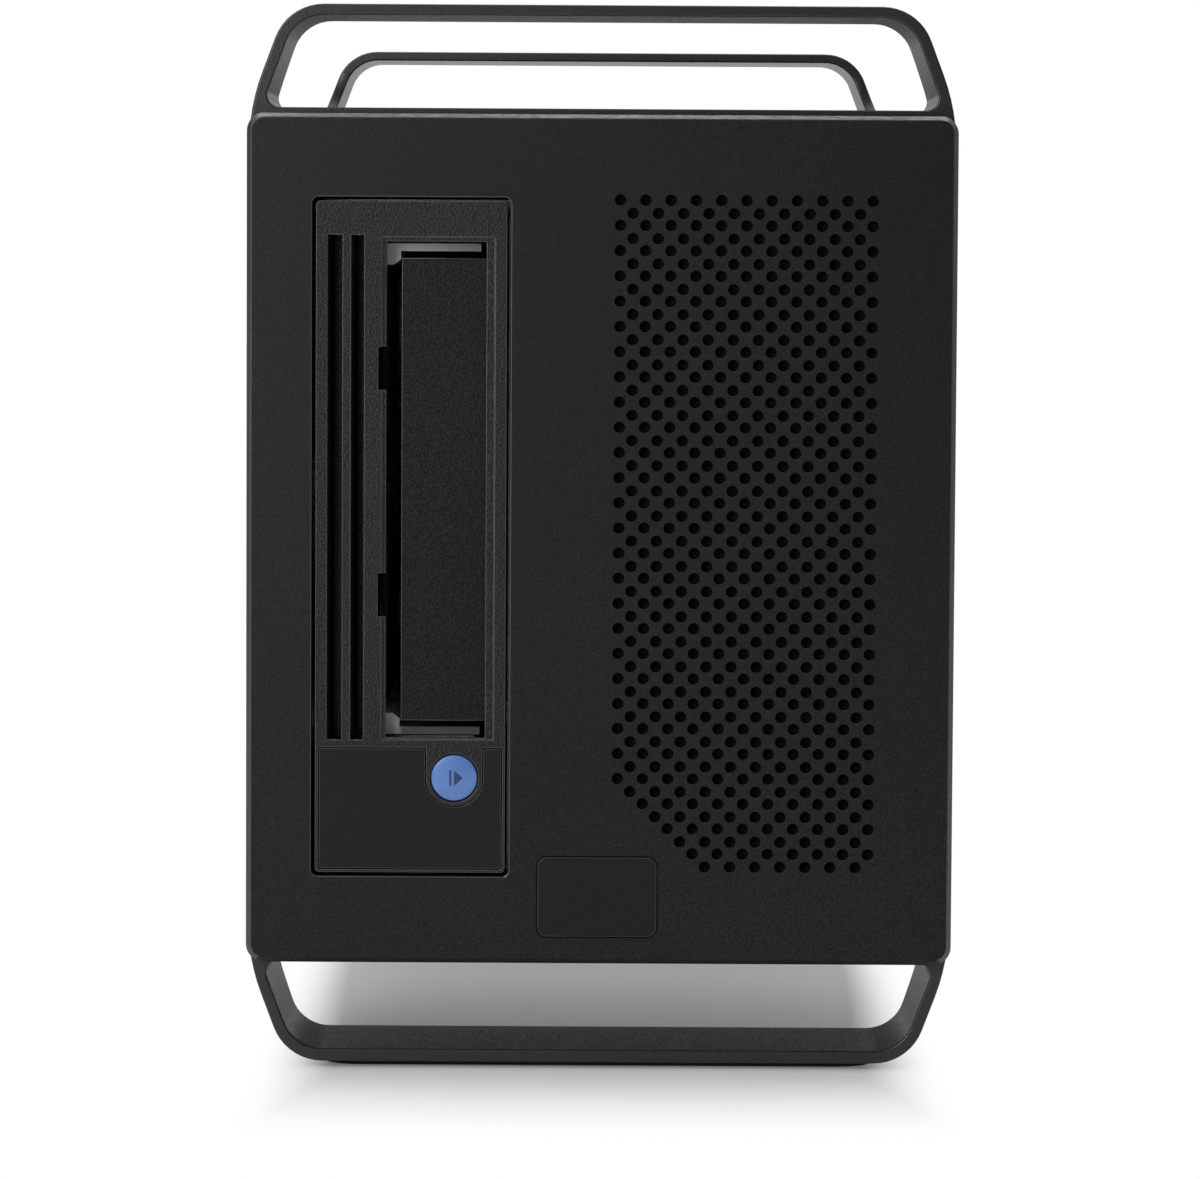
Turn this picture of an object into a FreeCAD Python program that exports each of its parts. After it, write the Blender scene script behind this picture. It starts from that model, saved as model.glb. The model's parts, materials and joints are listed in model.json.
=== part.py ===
import FreeCAD, Part
import math
import os

# Desktop data tape drive: a half-height cartridge drive standing on its side in a tall
# enclosure with two end frames, whose hoops are the carrying handles and the feet.
# Millimetres, +X right, +Y back, +Z up. Lengths along Y are counted from the front
# panel's face while the pieces are made, and write() moves them to the part's origin
# under the middle of the enclosure.

V = FreeCAD.Vector

# Enclosure
total_depth = 333.0
hoop_height = 234.5
foot_thickness = 1.5
foot_length = 124.0
foot_depth = 26.0
body_width = 156.0
body_height = 189.0
leg_lean = 20.6
leg_thickness = 2.6
top_bar_thickness = 2.4
bottom_bar_thickness = 2.8
bar_depth = 35.6
flare_radius = 17.0
shoulder_radius = 45.0
hoop_corner_radius = 11.5
window_corner_radius = 9.0
window_foot_radius = 2.8
frame_depth = 60.0
frame_wall = 3.0
flange_width = 7.0
flange_thickness = 3.0
tongue_length = 8.0
lap_clearance = 0.2
sleeve_wall = 1.6
seam = 0.3
hollow_radius = 1.0
tie_radius = 2.8
tie_thread = 6.0
tie_drop = 12.0

# Base tray
tray_gap = 4.0
tray_sheet = 1.6
tray_side = 14.0
tray_screw_x = 50.0
tray_screw_inset = 30.0
boss_radius = 3.2
boss_height = 4.0

# Front and rear panels
panel_overhang = 0.2
panel_thickness = 5.0
panel_top_reveal = 1.25
panel_chamfer = 1.05
panel_corner_radius = 4.0
grille_wall = 2.0
grille_border = 3.0
filter_thickness = 2.8
filter_play = 0.2
panel_thread_depth = 3.6

# Perforations
hole_diameter = 2.5
hole_pitch = 5.55
hole_columns = 11
hole_rows = 27
row_offset = 2.9
grille_left = 4.0
grille_top = 193.2
grille_cut_row = 46
side_field_front = 195.0
side_field_top = 171.0
side_field_rows = 19

# Badge plate
badge_width = 26.3
badge_height = 17.6
badge_x = -0.4
badge_z = 39.15
badge_thickness = 0.9
badge_radius = 2.0
badge_groove = 0.3

# Fasteners
m3_radius = 1.5
m3_head_radius = 2.75
m3_head_height = 1.8
screw_play = 0.2
thread_play = 0.03
seat_play = 0.1
beyond = 1.0
overlap = 0.2

# Drive and its front bezel
bezel_width = 42.05
bezel_height = 148.3
bezel_x = -41.88
bezel_z = 118.6
bezel_gap = 0.85
bezel_depth = 12.0
bezel_wall = 3.0
bezel_side_wall = 1.5
bezel_radius = 1.0
opening_radius = 1.5
vent_drop = 7.5
vent_length = 111.3
vent_starts = (2.5, 7.7)
vent_widths = (3.3, 2.9)
vent_slope = 1.5
baffle_front = 5.5
baffle_thickness = 1.0
baffle_margin = 1.2
baffle_slot = 2.5
mouth_left = 14.6
mouth_right = 2.65
mouth_top = 7.9
mouth_height = 110.9
mouth_side_step = 0.95
mouth_top_step = 1.0
mouth_bottom_step = 0.4
mouth_step_depth = 0.8
ledge_width = 1.9
notch_depth = 0.8
notch_height = 9.5
notch_drops = (24.1, 74.1)
tab_inset = 18.0
tab_width = 8.0
tab_thickness = 1.2
tab_reach = 6.0

# Door flap
door_gap_left = 3.25
door_gap_end = 3.6
door_thickness = 1.8
door_clearance = 0.25
door_barrel_radius = 1.3
door_pin_radius = 0.75
door_pin_inset = 3.2
door_rib = 1.3
bearing_play = 0.05
ear_thickness = 1.6
ear_gap = 0.4

# Display window and eject button
window_margin = 0.9
window_height = 26.6
window_thickness = 1.6
window_gap = 0.22
button_radius = 5.1
button_play = 0.3
button_x = -32.1
button_z = 65.5
button_travel = 1.0
button_length = 4.6
button_flange = 1.0
notch_wall = 1.05
button_crown = 0.35
flange_gap = 0.25
switch_gap = 0.3
switch_side = 6.0
plunger_radius = 1.6
plunger_rise = 0.8
peg_radius = 1.6
peg_inset = 2.5
board_thickness = 1.6
board_margin = 1.0
display_inset = 4.0

# Drive chassis
drive_height = 41.3
drive_width = 146.0
drive_length = 196.0
cover_sheet = 0.8
chassis_wall = 2.0
chassis_floor = 2.5
floor_depth = 5.0
board_gap = 1.2

# Cartridge cradle and its drive
cartridge_width = 105.4
cradle_length = 92.0
cradle_margin = 0.9
cradle_depth = 22.75
cradle_pin_radius = 1.2
cradle_pin_play = 0.15
cradle_pin_rise = 11.4
cradle_pin_ys = (26.0, 78.0)
guide_length = 30.0
guide_width = 3.2
guide_chamfer = 1.6
cradle_play = 0.05
cradle_wall = 1.7
cradle_floor = 1.2
cradle_front = 7.0
cradle_block = 3.0
cradle_travel = 18.0
cradle_drop = 3.6
slider_gap = 0.5
slider_wall = 1.2
slider_bridge = 8.0
slider_inset = 3.0
slider_lift = 0.6
rail_play = 0.2
rack_inset = 8.0
rack_teeth_front = 12
rack_teeth_back = 4
gear_y = 60.0
gear_module = 0.8
gear_teeth = 14
gear_width = 4.0
wheel_module = 0.6
wheel_width = 2.6
wheel_teeth = 24
motor_teeth = 10
backlash = 0.12
post_radius = 1.5
collar_rim = 1.1
motor_turn = -60.0
loader_motor_radius = 6.5
loader_leg_radius = 1.8
loader_leg_reach = 5.8
loader_leg_turns = (-20.0, -110.0)

# Reels, rollers and head
hub_y = 72.0
hub_radius = 15.0
hub_height = 2.2
hub_motor_radius = 18.0
reel_motor_height = 2.6
reel_y = 158.0
reel_z = 90.0
reel_radius = 36.0
reel_core_radius = 18.0
reel_motor_radius = 20.0
tape_width = 12.65
reel_flange = 1.2
shaft_radius = 3.0
roller_radius = 5.5
tape_lift = 8.0
roller_places = ((125.0, 171.0), (137.0, 152.0), (164.0, 143.0), (180.0, 130.0))
head_y = 150.0
head_z = 148.0
head_travel = 3.0
head_size = 12.0
head_depth = 10.0
head_height = 14.0
head_post_offset = 4.4
magnet_half = 8.5
magnet_wall = 3.0
threader_y = 124.0
threader_z = 60.0
threader_reach = 46.0
threader_width = 9.0
threader_thickness = 1.6
threader_lift = 1.5

# Power supply, fan, boards and rear openings
supply_width = 40.0
supply_depth = 160.0
supply_height = 100.0
supply_x = 20.0
supply_y = 80.0
supply_sheet = 1.0
supply_tab = 9.0
fan_size = 60.0
fan_thickness = 25.0
fan_x = -36.0
fan_z = 118.0
fan_wall = 2.0
fan_tip_gap = 0.8
fan_hub_radius = 14.0
fan_blades = 7
inlet_x = 42.0
inlet_z = 62.0
switch_z = 96.0
rocker_tilt = 10.0

# Drive cage, bridge board and their screws
cage_sheet = 1.6
cage_gap = 0.6
cage_back = 200.0
web_back = 236.0
cage_foot = 12.0
cage_screw_ys = (44.0, 184.0)
drive_screw_inset = 10.0
drive_screw_steps = (47.4, 126.9)
screw_boss_rise = 2.5
standoff_radius = 2.6
bridge_x0 = -4.0
bridge_low = 56.0
bridge_high = 186.0
connector_z0 = 98.0
connector_z1 = 142.0
cable_thickness = 1.0
plug_depth = 4.0
cable_margin = 3.0
cable_radius = 3.0
port_reach = 2.0
port_sizes = ((3.3, 9.0, 90.0), (3.3, 9.0, 108.0), (4.8, 16.2, 130.0), (8.6, 14.0, 156.0))
port_wall = 0.5
port_length = 12.0

# Places worked out from the sizes above
hoop_bottom = foot_thickness
hoop_top = hoop_bottom + hoop_height
body_bottom = hoop_bottom + (hoop_height - body_height) / 2
body_top = body_bottom + body_height
half_width = body_width / 2
panel_half_width = half_width + panel_overhang
panel_top = body_top - panel_top_reveal
frame_front = panel_thickness
ring_inner_x = half_width - frame_wall
ring_bottom = body_bottom + frame_wall
ring_top = body_top - frame_wall
flange_back = frame_front + flange_thickness
frame_back = frame_front + frame_depth
bezel_left = bezel_x - bezel_width / 2
bezel_right = bezel_x + bezel_width / 2
bezel_bottom = bezel_z - bezel_height / 2
bezel_top = bezel_z + bezel_height / 2
drive_left = bezel_x - drive_height / 2
drive_right = bezel_x + drive_height / 2
drive_bottom = bezel_z - drive_width / 2
drive_top = bezel_z + drive_width / 2
drive_back = bezel_depth + drive_length
mouth_x0 = bezel_left + mouth_left
mouth_x1 = bezel_right - mouth_right
mouth_z1 = bezel_top - mouth_top
mouth_z0 = mouth_z1 - mouth_height
cartridge_z = (mouth_z0 + mouth_z1) / 2 - 0.4
floor_x = drive_left + floor_depth + cover_sheet + chassis_floor
top_cover_x = drive_right - cover_sheet


def write(node, shape):
    """Write one node's solids, moved to the part's own origin."""
    placed = shape.copy()
    placed.translate(V(0, -total_depth / 2, 0))
    placed.exportStep("parts/" + node + ".step")


def box(x0, x1, y0, y1, z0, z1):
    return Part.makeBox(x1 - x0, y1 - y0, z1 - z0, V(x0, y0, z0))


def rod(radius, start, end):
    axis = end - start
    return Part.makeCylinder(radius, axis.Length, start, axis)


def rod_x(radius, x0, x1, y, z):
    return rod(radius, V(x0, y, z), V(x1, y, z))


def rod_y(radius, y0, y1, x, z):
    return rod(radius, V(x, y0, z), V(x, y1, z))


def rod_z(radius, z0, z1, x, y):
    return rod(radius, V(x, y, z0), V(x, y, z1))


def on_xz(a, b):
    return V(a, 0, b)


def on_yz(a, b):
    return V(0, a, b)


def on_xy(a, b):
    return V(a, b, 0)


def rounded_wire(corners, place):
    """Closed wire through corners (a, b, radius), each rounded by a tangent arc."""
    points = [place(a, b) for a, b, radius in corners]
    count = len(points)
    stops = []
    for i in range(count):
        here = points[i]
        radius = corners[i][2]
        back = (points[i - 1] - here).normalize()
        ahead = (points[(i + 1) % count] - here).normalize()
        if radius <= 0:
            stops.append((here, None, here))
            continue
        half_angle = back.getAngle(ahead) / 2
        reach = radius / math.tan(half_angle)
        middle = (back + ahead).normalize()
        crown = here + middle * (radius / math.sin(half_angle) - radius)
        stops.append((here + back * reach, crown, here + ahead * reach))
    edges = []
    for i in range(count):
        start, crown, end = stops[i]
        if crown is not None:
            edges.append(Part.Arc(start, crown, end).toShape())
        next_start = stops[(i + 1) % count][0]
        if (next_start - end).Length > 1e-6:
            edges.append(Part.LineSegment(end, next_start).toShape())
    return Part.Wire(edges)


def prism(corners, place, start, length_vector):
    wire = rounded_wire(corners, place)
    wire.translate(start)
    return Part.Face(wire).extrude(length_vector)


def prism_y(corners, y0, y1):
    return prism(corners, on_xz, V(0, y0, 0), V(0, y1 - y0, 0))


def prism_x(corners, x0, x1):
    return prism(corners, on_yz, V(x0, 0, 0), V(x1 - x0, 0, 0))


def prism_z(corners, z0, z1):
    return prism(corners, on_xy, V(0, 0, z0), V(0, 0, z1 - z0))


def rectangle(a0, a1, b0, b1, radius=0.0):
    return [(a0, b0, radius), (a1, b0, radius), (a1, b1, radius), (a0, b1, radius)]


def plate_y(x0, x1, z0, z1, radius, y0, y1):
    return prism_y(rectangle(x0, x1, z0, z1, radius), y0, y1)


def mirrored_y(shape):
    """The same piece at the other end of the enclosure."""
    return shape.mirror(V(0, total_depth / 2, 0), V(0, 1, 0))


def pan_screw(tip, axis, shank_radius, shank_length, head_radius, head_height):
    """Screw whose shank starts at the tip and runs along the axis to its head."""
    shank = Part.makeCylinder(shank_radius, shank_length, tip, axis)
    seat = tip + axis * shank_length
    head = Part.makeCylinder(head_radius, head_height, seat, axis)
    across = head_radius * 0.9
    socket = Part.makeCylinder(across / 2, head_height, seat + axis * (head_height * 0.45), axis)
    return shank.fuse(head).cut(socket)


def staggered_holes(columns, rows, cut_row=None):
    """Steps along and down a field of holes, with every other row half a pitch along.

    Rows past cut_row lose holes at their start, which cuts the corner off the field.
    """
    steps = []
    for row in range(2 * rows):
        odd = row % 2
        for column in range(columns - odd):
            along = hole_pitch * (column + 0.5 * odd)
            down = hole_pitch * (row // 2) + row_offset * odd
            kept = cut_row is None or column + 0.5 * odd >= (row - cut_row) / 2
            if kept:
                steps.append((along, down))
    return steps


def involute_point(base_radius, radius, sense, turn):
    roll = math.sqrt(max(0.0, (radius / base_radius) ** 2 - 1))
    angle = roll - math.atan(roll)
    return (radius, turn + sense * angle)


def gear_corners(module, teeth, turn, thinning):
    """Outline of a spur gear: involute flanks from root to tip, thinned for backlash."""
    pitch_radius = module * teeth / 2
    base_radius = pitch_radius * math.cos(math.radians(20))
    tip_radius = pitch_radius + 0.95 * module
    root_radius = pitch_radius - 1.25 * module
    pitch_roll = math.tan(math.radians(20)) - math.radians(20)
    half_tooth = math.pi / (2 * teeth) - thinning / (2 * pitch_radius)
    steps = 4
    outline = []
    for tooth in range(teeth):
        middle = turn + 2 * math.pi * tooth / teeth
        low = max(base_radius, root_radius)
        radii = [low + (tip_radius - low) * i / steps for i in range(steps + 1)]
        rise = []
        for radius in radii:
            start = middle - half_tooth - pitch_roll
            rise.append(involute_point(base_radius, radius, 1, start))
        fall = [(radius, 2 * middle - angle) for radius, angle in reversed(rise)]
        outline.append((root_radius, rise[0][1]))
        outline.extend(rise)
        outline.extend(fall)
        outline.append((root_radius, fall[-1][1]))
    return [(r * math.cos(a), r * math.sin(a), 0.0) for r, a in outline]


def gear_x(module, teeth, turn, x0, x1, y, z):
    corners = [(y + a, z + b, r) for a, b, r in gear_corners(module, teeth, turn, backlash)]
    return prism_x(corners, x0, x1)


def joined(shapes):
    """Fuse shapes that touch or overlap into one solid and merge their flush faces."""
    whole = shapes[0]
    if len(shapes) > 1:
        whole = whole.fuse(shapes[1:])
    return whole.removeSplitter()


def end_plate():
    """Plain front panel: rounded plate with a chamfered outer edge."""
    outline = rectangle(-panel_half_width, panel_half_width, body_bottom, panel_top, panel_corner_radius)
    plate = prism_y(outline, 0, panel_thickness)
    rim = [edge for edge in plate.Edges if edge.BoundBox.YMax < 1e-6]
    return plate.makeChamfer(panel_chamfer, rim)


# Places of the screws that hold a panel to its end frame
flange_x = ring_inner_x - flange_width / 2
flange_low = ring_bottom + flange_width / 2
flange_high = ring_top - flange_width / 2
flange_middle = (flange_low + flange_high) / 2
panel_screw_places = [(side * flange_x, z) for side in (-1, 1) for z in (flange_low, flange_middle, flange_high)]
tie_z = flange_high - tie_drop


def grille_places():
    steps = staggered_holes(hole_columns, hole_rows, grille_cut_row)
    return [(grille_left + along, grille_top - down) for along, down in steps]


def grille_pocket(gap, y0, y1):
    """Pocket behind the perforated field, or with a gap what lies in it."""
    field_width = hole_pitch * (hole_columns - 1)
    field_height = hole_pitch * (hole_rows - 1) + row_offset
    border = grille_border - gap
    return plate_y(grille_left - border, grille_left + field_width + border,
                   grille_top - field_height - border, grille_top + border, border, y0, y1)


def badge_outline(gap, y0, y1):
    half_wide = badge_width / 2 + gap
    half_high = badge_height / 2 + gap
    return plate_y(badge_x - half_wide, badge_x + half_wide, badge_z - half_high, badge_z + half_high,
                   badge_radius + gap, y0, y1)


def make_front_panel():
    plate = end_plate()
    opening = plate_y(bezel_left - bezel_gap, bezel_right + bezel_gap, bezel_bottom - bezel_gap,
                      bezel_top + bezel_gap, opening_radius, -beyond, panel_thickness + beyond)
    badge_seat = badge_outline(badge_groove, -beyond, badge_thickness)
    pocket = grille_pocket(0, grille_wall, panel_thickness + beyond)
    plate = plate.cut([opening, badge_seat, pocket])
    tools = [rod_y(hole_diameter / 2, -beyond, grille_wall + beyond, x, z) for x, z in grille_places()]
    for x, z in panel_screw_places:
        depth = panel_thickness - panel_thread_depth
        tools.append(rod_y(m3_radius + thread_play, depth, panel_thickness + beyond, x, z))
    return plate.cut(tools)


def make_badge_plate():
    return badge_outline(0, 0, badge_thickness)


def make_dust_filter():
    """Foam sheet that lies in the pocket against the back of the perforated wall."""
    return grille_pocket(filter_play, grille_wall, grille_wall + filter_thickness)


# Outline of the end frames
lean_run = math.tan(math.radians(leg_lean))
hoop_rise = hoop_top - body_top
hoop_half_top = half_width - hoop_rise * lean_run
leg_run = leg_thickness / math.cos(math.radians(leg_lean))
middle_z = (hoop_top + hoop_bottom) / 2


def frame_outline():
    upper = [(-hoop_half_top, hoop_top, hoop_corner_radius), (hoop_half_top, hoop_top, hoop_corner_radius),
             (half_width, body_top, shoulder_radius)]
    lower = [(half_width, body_bottom, shoulder_radius), (hoop_half_top, hoop_bottom, hoop_corner_radius),
             (-hoop_half_top, hoop_bottom, hoop_corner_radius), (-half_width, body_bottom, shoulder_radius)]
    return upper + lower + [(-half_width, body_top, shoulder_radius)]


def window_outline(bar_thickness, upward):
    """Outline of the window in a hoop, upward for the handle and not for the foot."""
    edge = hoop_rise - bar_thickness
    wide = half_width - leg_run
    narrow = wide - edge * lean_run
    corners = [(-narrow, edge, window_corner_radius), (narrow, edge, window_corner_radius),
               (wide, 0, window_foot_radius), (-wide, 0, window_foot_radius)]
    if upward:
        return [(x, body_top + rise, radius) for x, rise, radius in corners]
    return [(x, body_bottom - rise, radius) for x, rise, radius in corners]


def behind_bar(upward):
    """Prism cut away behind a hoop's bar, curving down to the body at the flare."""
    bar_back = frame_front + bar_depth
    reach = hoop_rise + beyond
    corners = [(bar_back, reach, 0), (frame_back + beyond, reach, 0), (frame_back + beyond, 0, 0),
               (bar_back, 0, flare_radius)]
    if upward:
        placed = [(y, body_top + rise, radius) for y, rise, radius in corners]
    else:
        placed = [(y, body_bottom - rise, radius) for y, rise, radius in corners]
    return prism_x(placed, -half_width - beyond, half_width + beyond)


tray_screw_y = frame_front + tray_screw_inset
sink_radius = m3_head_radius + screw_play
sink_depth = m3_head_height + 0.1


def sunk_hole_z(x, y, low, high):
    """Through hole with its head's counterbore opening downwards."""
    return joined([rod_z(m3_radius + screw_play, low - beyond, high + beyond, x, y),
                   rod_z(sink_radius, low - beyond, low + sink_depth, x, y)])


def sunk_hole_y(x, z, front, back):
    return joined([rod_y(m3_radius + screw_play, front - beyond, back + beyond, x, z),
                   rod_y(sink_radius, front - beyond, front + sink_depth, x, z)])


def make_frame(hole_radius):
    """Front end frame; the rear one is its mirror image, with threaded panel holes."""
    ring = prism_y(frame_outline(), frame_front, frame_back)
    lap = sleeve_wall + lap_clearance
    tongue = plate_y(-half_width + lap, half_width - lap, body_bottom + lap, body_top - lap,
                     sleeve_wall, frame_back - beyond, frame_back + tongue_length)
    cuts = [prism_y(window_outline(top_bar_thickness, True), frame_front - beyond, frame_back + beyond),
            prism_y(window_outline(bottom_bar_thickness, False), frame_front - beyond, frame_back + beyond),
            behind_bar(True), behind_bar(False)]
    ring = ring.cut(cuts).fuse(tongue)
    hollow = plate_y(-ring_inner_x, ring_inner_x, ring_bottom, ring_top, hollow_radius, flange_back,
                     frame_back + tongue_length + beyond)
    mouth = plate_y(-ring_inner_x + flange_width, ring_inner_x - flange_width, ring_bottom + flange_width,
                    ring_top - flange_width, 3.0, frame_front - beyond, flange_back + beyond)
    tools = [hollow, mouth]
    for x, z in panel_screw_places:
        tools.append(rod_y(hole_radius, frame_front - beyond, flange_back + beyond, x, z))
    for side in (-1, 1):
        tools.append(sunk_hole_y(side * flange_x, tie_z, frame_front, flange_back))
        tools.append(sunk_hole_z(side * tray_screw_x, tray_screw_y, body_bottom, ring_bottom))
    return ring.cut(tools).removeSplitter()


def make_foot_strip():
    """Rubber strip under a lower bar."""
    front = frame_front + (bar_depth - foot_depth) / 2
    outline = rectangle(-foot_length / 2, foot_length / 2, front, front + foot_depth, foot_depth / 3)
    return prism_z(outline, 0, foot_thickness)


def make_sleeve():
    y0 = frame_back + seam
    y1 = total_depth - y0
    outer = prism_y(frame_outline(), y0, y1)
    outer = outer.common(box(-half_width, half_width, y0, y1, body_bottom, body_top))
    inner = plate_y(-half_width + sleeve_wall, half_width - sleeve_wall, body_bottom + sleeve_wall,
                    body_top - sleeve_wall, sleeve_wall, y0 - beyond, y1 + beyond)
    tools = [inner]
    for along, down in staggered_holes(hole_columns, side_field_rows):
        y = side_field_front + along
        tools.append(rod_x(hole_diameter / 2, -half_width - beyond, half_width + beyond, y, side_field_top - down))
    return outer.cut(tools)


# Base tray between the flanges of the two end frames
tray_front = flange_back + tray_gap
tray_back = total_depth - tray_front
tray_top = ring_bottom + tray_sheet
tray_half = ring_inner_x - hollow_radius


def tray_screw_places():
    return [(x, y) for x in (-tray_screw_x, tray_screw_x) for y in (tray_screw_y, total_depth - tray_screw_y)]


def make_base_tray():
    floor = box(-tray_half, tray_half, tray_front, tray_back, ring_bottom, tray_top)
    sides = [box(-tray_half, -tray_half + tray_sheet, tray_front, tray_back, ring_bottom, ring_bottom + tray_side),
             box(tray_half - tray_sheet, tray_half, tray_front, tray_back, ring_bottom, ring_bottom + tray_side)]
    bosses = [rod_z(boss_radius, ring_bottom, tray_top + boss_height, x, y) for x, y in tray_screw_places()]
    tray = joined([floor] + sides + bosses)
    holes = [rod_z(m3_radius + thread_play, ring_bottom - beyond, tray_top + boss_height - 0.8, x, y)
             for x, y in tray_screw_places()]
    return tray.cut(holes)


def make_tray_screws():
    shank = frame_wall - m3_head_height - 0.1 + tray_sheet + boss_height - 1.4
    screws = []
    for x, y in tray_screw_places():
        tip = V(x, y, body_bottom + sink_depth + shank)
        screws.append(pan_screw(tip, V(0, 0, -1), m3_radius, shank, m3_head_radius, m3_head_height))
    return Part.makeCompound(screws)


def make_panel_screws():
    """Screws from inside the front frame into the front panel."""
    grip = panel_thread_depth - 0.4
    screws = []
    for x, z in panel_screw_places:
        tip = V(x, panel_thickness - grip, z)
        screws.append(pan_screw(tip, V(0, 1, 0), m3_radius, grip + flange_thickness, m3_head_radius, m3_head_height))
    return Part.makeCompound(screws)


def make_tie_rods():
    rods = []
    for side in (-1, 1):
        x = side * flange_x
        bar = rod_y(tie_radius, flange_back, total_depth - flange_back, x, tie_z)
        bores = [rod_y(m3_radius + thread_play, flange_back - beyond, flange_back + tie_thread, x, tie_z),
                 rod_y(m3_radius + thread_play, total_depth - flange_back - tie_thread,
                       total_depth - flange_back + beyond, x, tie_z)]
        rods.append(bar.cut(bores))
    return Part.makeCompound(rods)


def make_tie_screws():
    shank = flange_thickness - sink_depth + tie_thread - 1.0
    screws = []
    for side in (-1, 1):
        tip = V(side * flange_x, frame_front + sink_depth + shank, tie_z)
        screw = pan_screw(tip, V(0, -1, 0), m3_radius, shank, m3_head_radius, m3_head_height)
        screws.extend([screw, mirrored_y(screw)])
    return Part.makeCompound(screws)


# Front wall of the bezel and what passes through it
hole_x0 = mouth_x0 + mouth_side_step
hole_x1 = mouth_x1 - ledge_width
hole_z0 = mouth_z0 + mouth_bottom_step
hole_z1 = mouth_z1 - mouth_top_step
door_x0 = hole_x0 + door_gap_left
door_z0 = hole_z0 + door_gap_end
door_z1 = hole_z1 - door_gap_end
door_front = bezel_wall + door_clearance
door_axis_x = bezel_right - door_pin_inset
door_axis_y = door_front + door_barrel_radius + 0.1
button_bore = button_radius + button_play
display_front = bezel_depth - 4.0
tab_x = bezel_left + tab_inset
board_x0 = bezel_left + bezel_side_wall + board_margin
board_x1 = bezel_right - bezel_side_wall - board_margin
board_low = drive_bottom + chassis_wall + seat_play + tab_thickness + board_margin
board_high = hole_z0 - 2.5 * board_margin


def window_corners(gap):
    """Outline of the display window with its notch round the button, grown by a gap."""
    x0 = bezel_left + window_margin - gap
    x1 = bezel_right - window_margin + gap
    z0 = bezel_bottom + window_margin - gap
    z1 = z0 + window_height + 2 * gap
    notch = button_bore + notch_wall - gap
    low = button_z - notch
    right = button_x + notch
    left = button_x - notch
    return [(x0, z0, 0.6), (x1, z0, 0.6), (x1, z1, 0.3), (right, z1, 0.3), (right, low, notch),
            (left, low, notch), (left, z1, 0.3), (x0, z1, 0.3)]


def vent_cut(start, width):
    """Long slot whose left wall slopes inwards."""
    x0 = bezel_left + start
    x1 = x0 + width
    corners = [(x0, -beyond, 0), (x1, -beyond, 0), (x1, bezel_wall + beyond, 0),
               (x0 + vent_slope, bezel_wall + beyond, 0), (x0 + vent_slope, bezel_wall, 0), (x0, 0, 0)]
    top = bezel_top - vent_drop
    return prism_z(corners, top - vent_length, top)


def vent_baffle():
    """Light baffle behind the vents, held by the left wall and a rib at each end of the vents."""
    x0 = bezel_left + bezel_side_wall - overlap
    x1 = hole_x0 - baffle_slot - baffle_margin
    low = bezel_top - vent_drop - vent_length - baffle_margin
    high = bezel_top - vent_drop + baffle_margin
    back = baffle_front + baffle_thickness
    ribs = [box(x0, x1, bezel_wall - overlap, back, z, z + baffle_thickness) for z in (low, high - baffle_thickness)]
    return ribs + [box(x0, x1, baffle_front, back, low, high)]


def make_drive_bezel():
    shell = plate_y(bezel_left, bezel_right, bezel_bottom, bezel_top, bezel_radius, 0, bezel_depth)
    hollow = plate_y(bezel_left + bezel_side_wall, bezel_right - bezel_side_wall, bezel_bottom + bezel_side_wall,
                     bezel_top - bezel_side_wall, bezel_radius / 2, bezel_wall, bezel_depth + beyond)
    shell = shell.cut(hollow)
    cuts = [vent_cut(start, width) for start, width in zip(vent_starts, vent_widths)]
    cuts.append(plate_y(mouth_x0, mouth_x1, mouth_z0, mouth_z1, 0.4, -beyond, mouth_step_depth))
    cuts.append(plate_y(hole_x0, hole_x1, hole_z0, hole_z1, 0.3, -beyond, bezel_wall + beyond))
    for drop in notch_drops:
        top = mouth_z1 - drop
        cuts.append(box(mouth_x0 - notch_depth, hole_x0 + beyond, -beyond, bezel_wall + beyond,
                        top - notch_height, top))
    cuts.append(prism_y(window_corners(window_gap), -beyond, window_thickness))
    aperture_x1 = button_x - button_bore - 2 * notch_wall
    cuts.append(plate_y(bezel_left + 4 * window_margin, aperture_x1, bezel_bottom + 5 * window_margin,
                        bezel_bottom + window_height - 3 * window_margin, 1.0, 0, bezel_wall + beyond))
    cuts.append(rod_y(button_bore, -beyond, bezel_wall + beyond, button_x, button_z))
    shell = shell.cut(cuts)
    ears = []
    for z in (door_z0 - ear_gap - ear_thickness, door_z1 + ear_gap):
        ears.append(box(door_axis_x - door_barrel_radius, bezel_right - bezel_side_wall + overlap,
                        bezel_wall - overlap, door_axis_y + door_barrel_radius + 0.4, z, z + ear_thickness))
    pegs = [rod_y(peg_radius, bezel_wall - overlap, display_front, x, z) for x, z in display_peg_places()]
    tabs = vent_baffle()
    for z in (drive_bottom + chassis_wall + seat_play, drive_top - chassis_wall - seat_play - tab_thickness):
        tabs.append(box(tab_x, tab_x + tab_width, bezel_wall - overlap, bezel_depth + tab_reach, z,
                        z + tab_thickness))
    shell = joined([shell] + ears + pegs + tabs)
    reach = ear_gap + ear_thickness + beyond
    return shell.cut(rod_z(door_pin_radius, door_z0 - reach, door_z1 + reach, door_axis_x, door_axis_y))


def display_peg_places():
    low = board_low + peg_inset
    high = board_high - peg_inset
    return [(board_x0 + peg_inset, low), (board_x0 + peg_inset, high), (board_x1 - peg_inset, low)]


def make_display_window():
    return prism_y(window_corners(0), 0, window_thickness)


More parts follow.
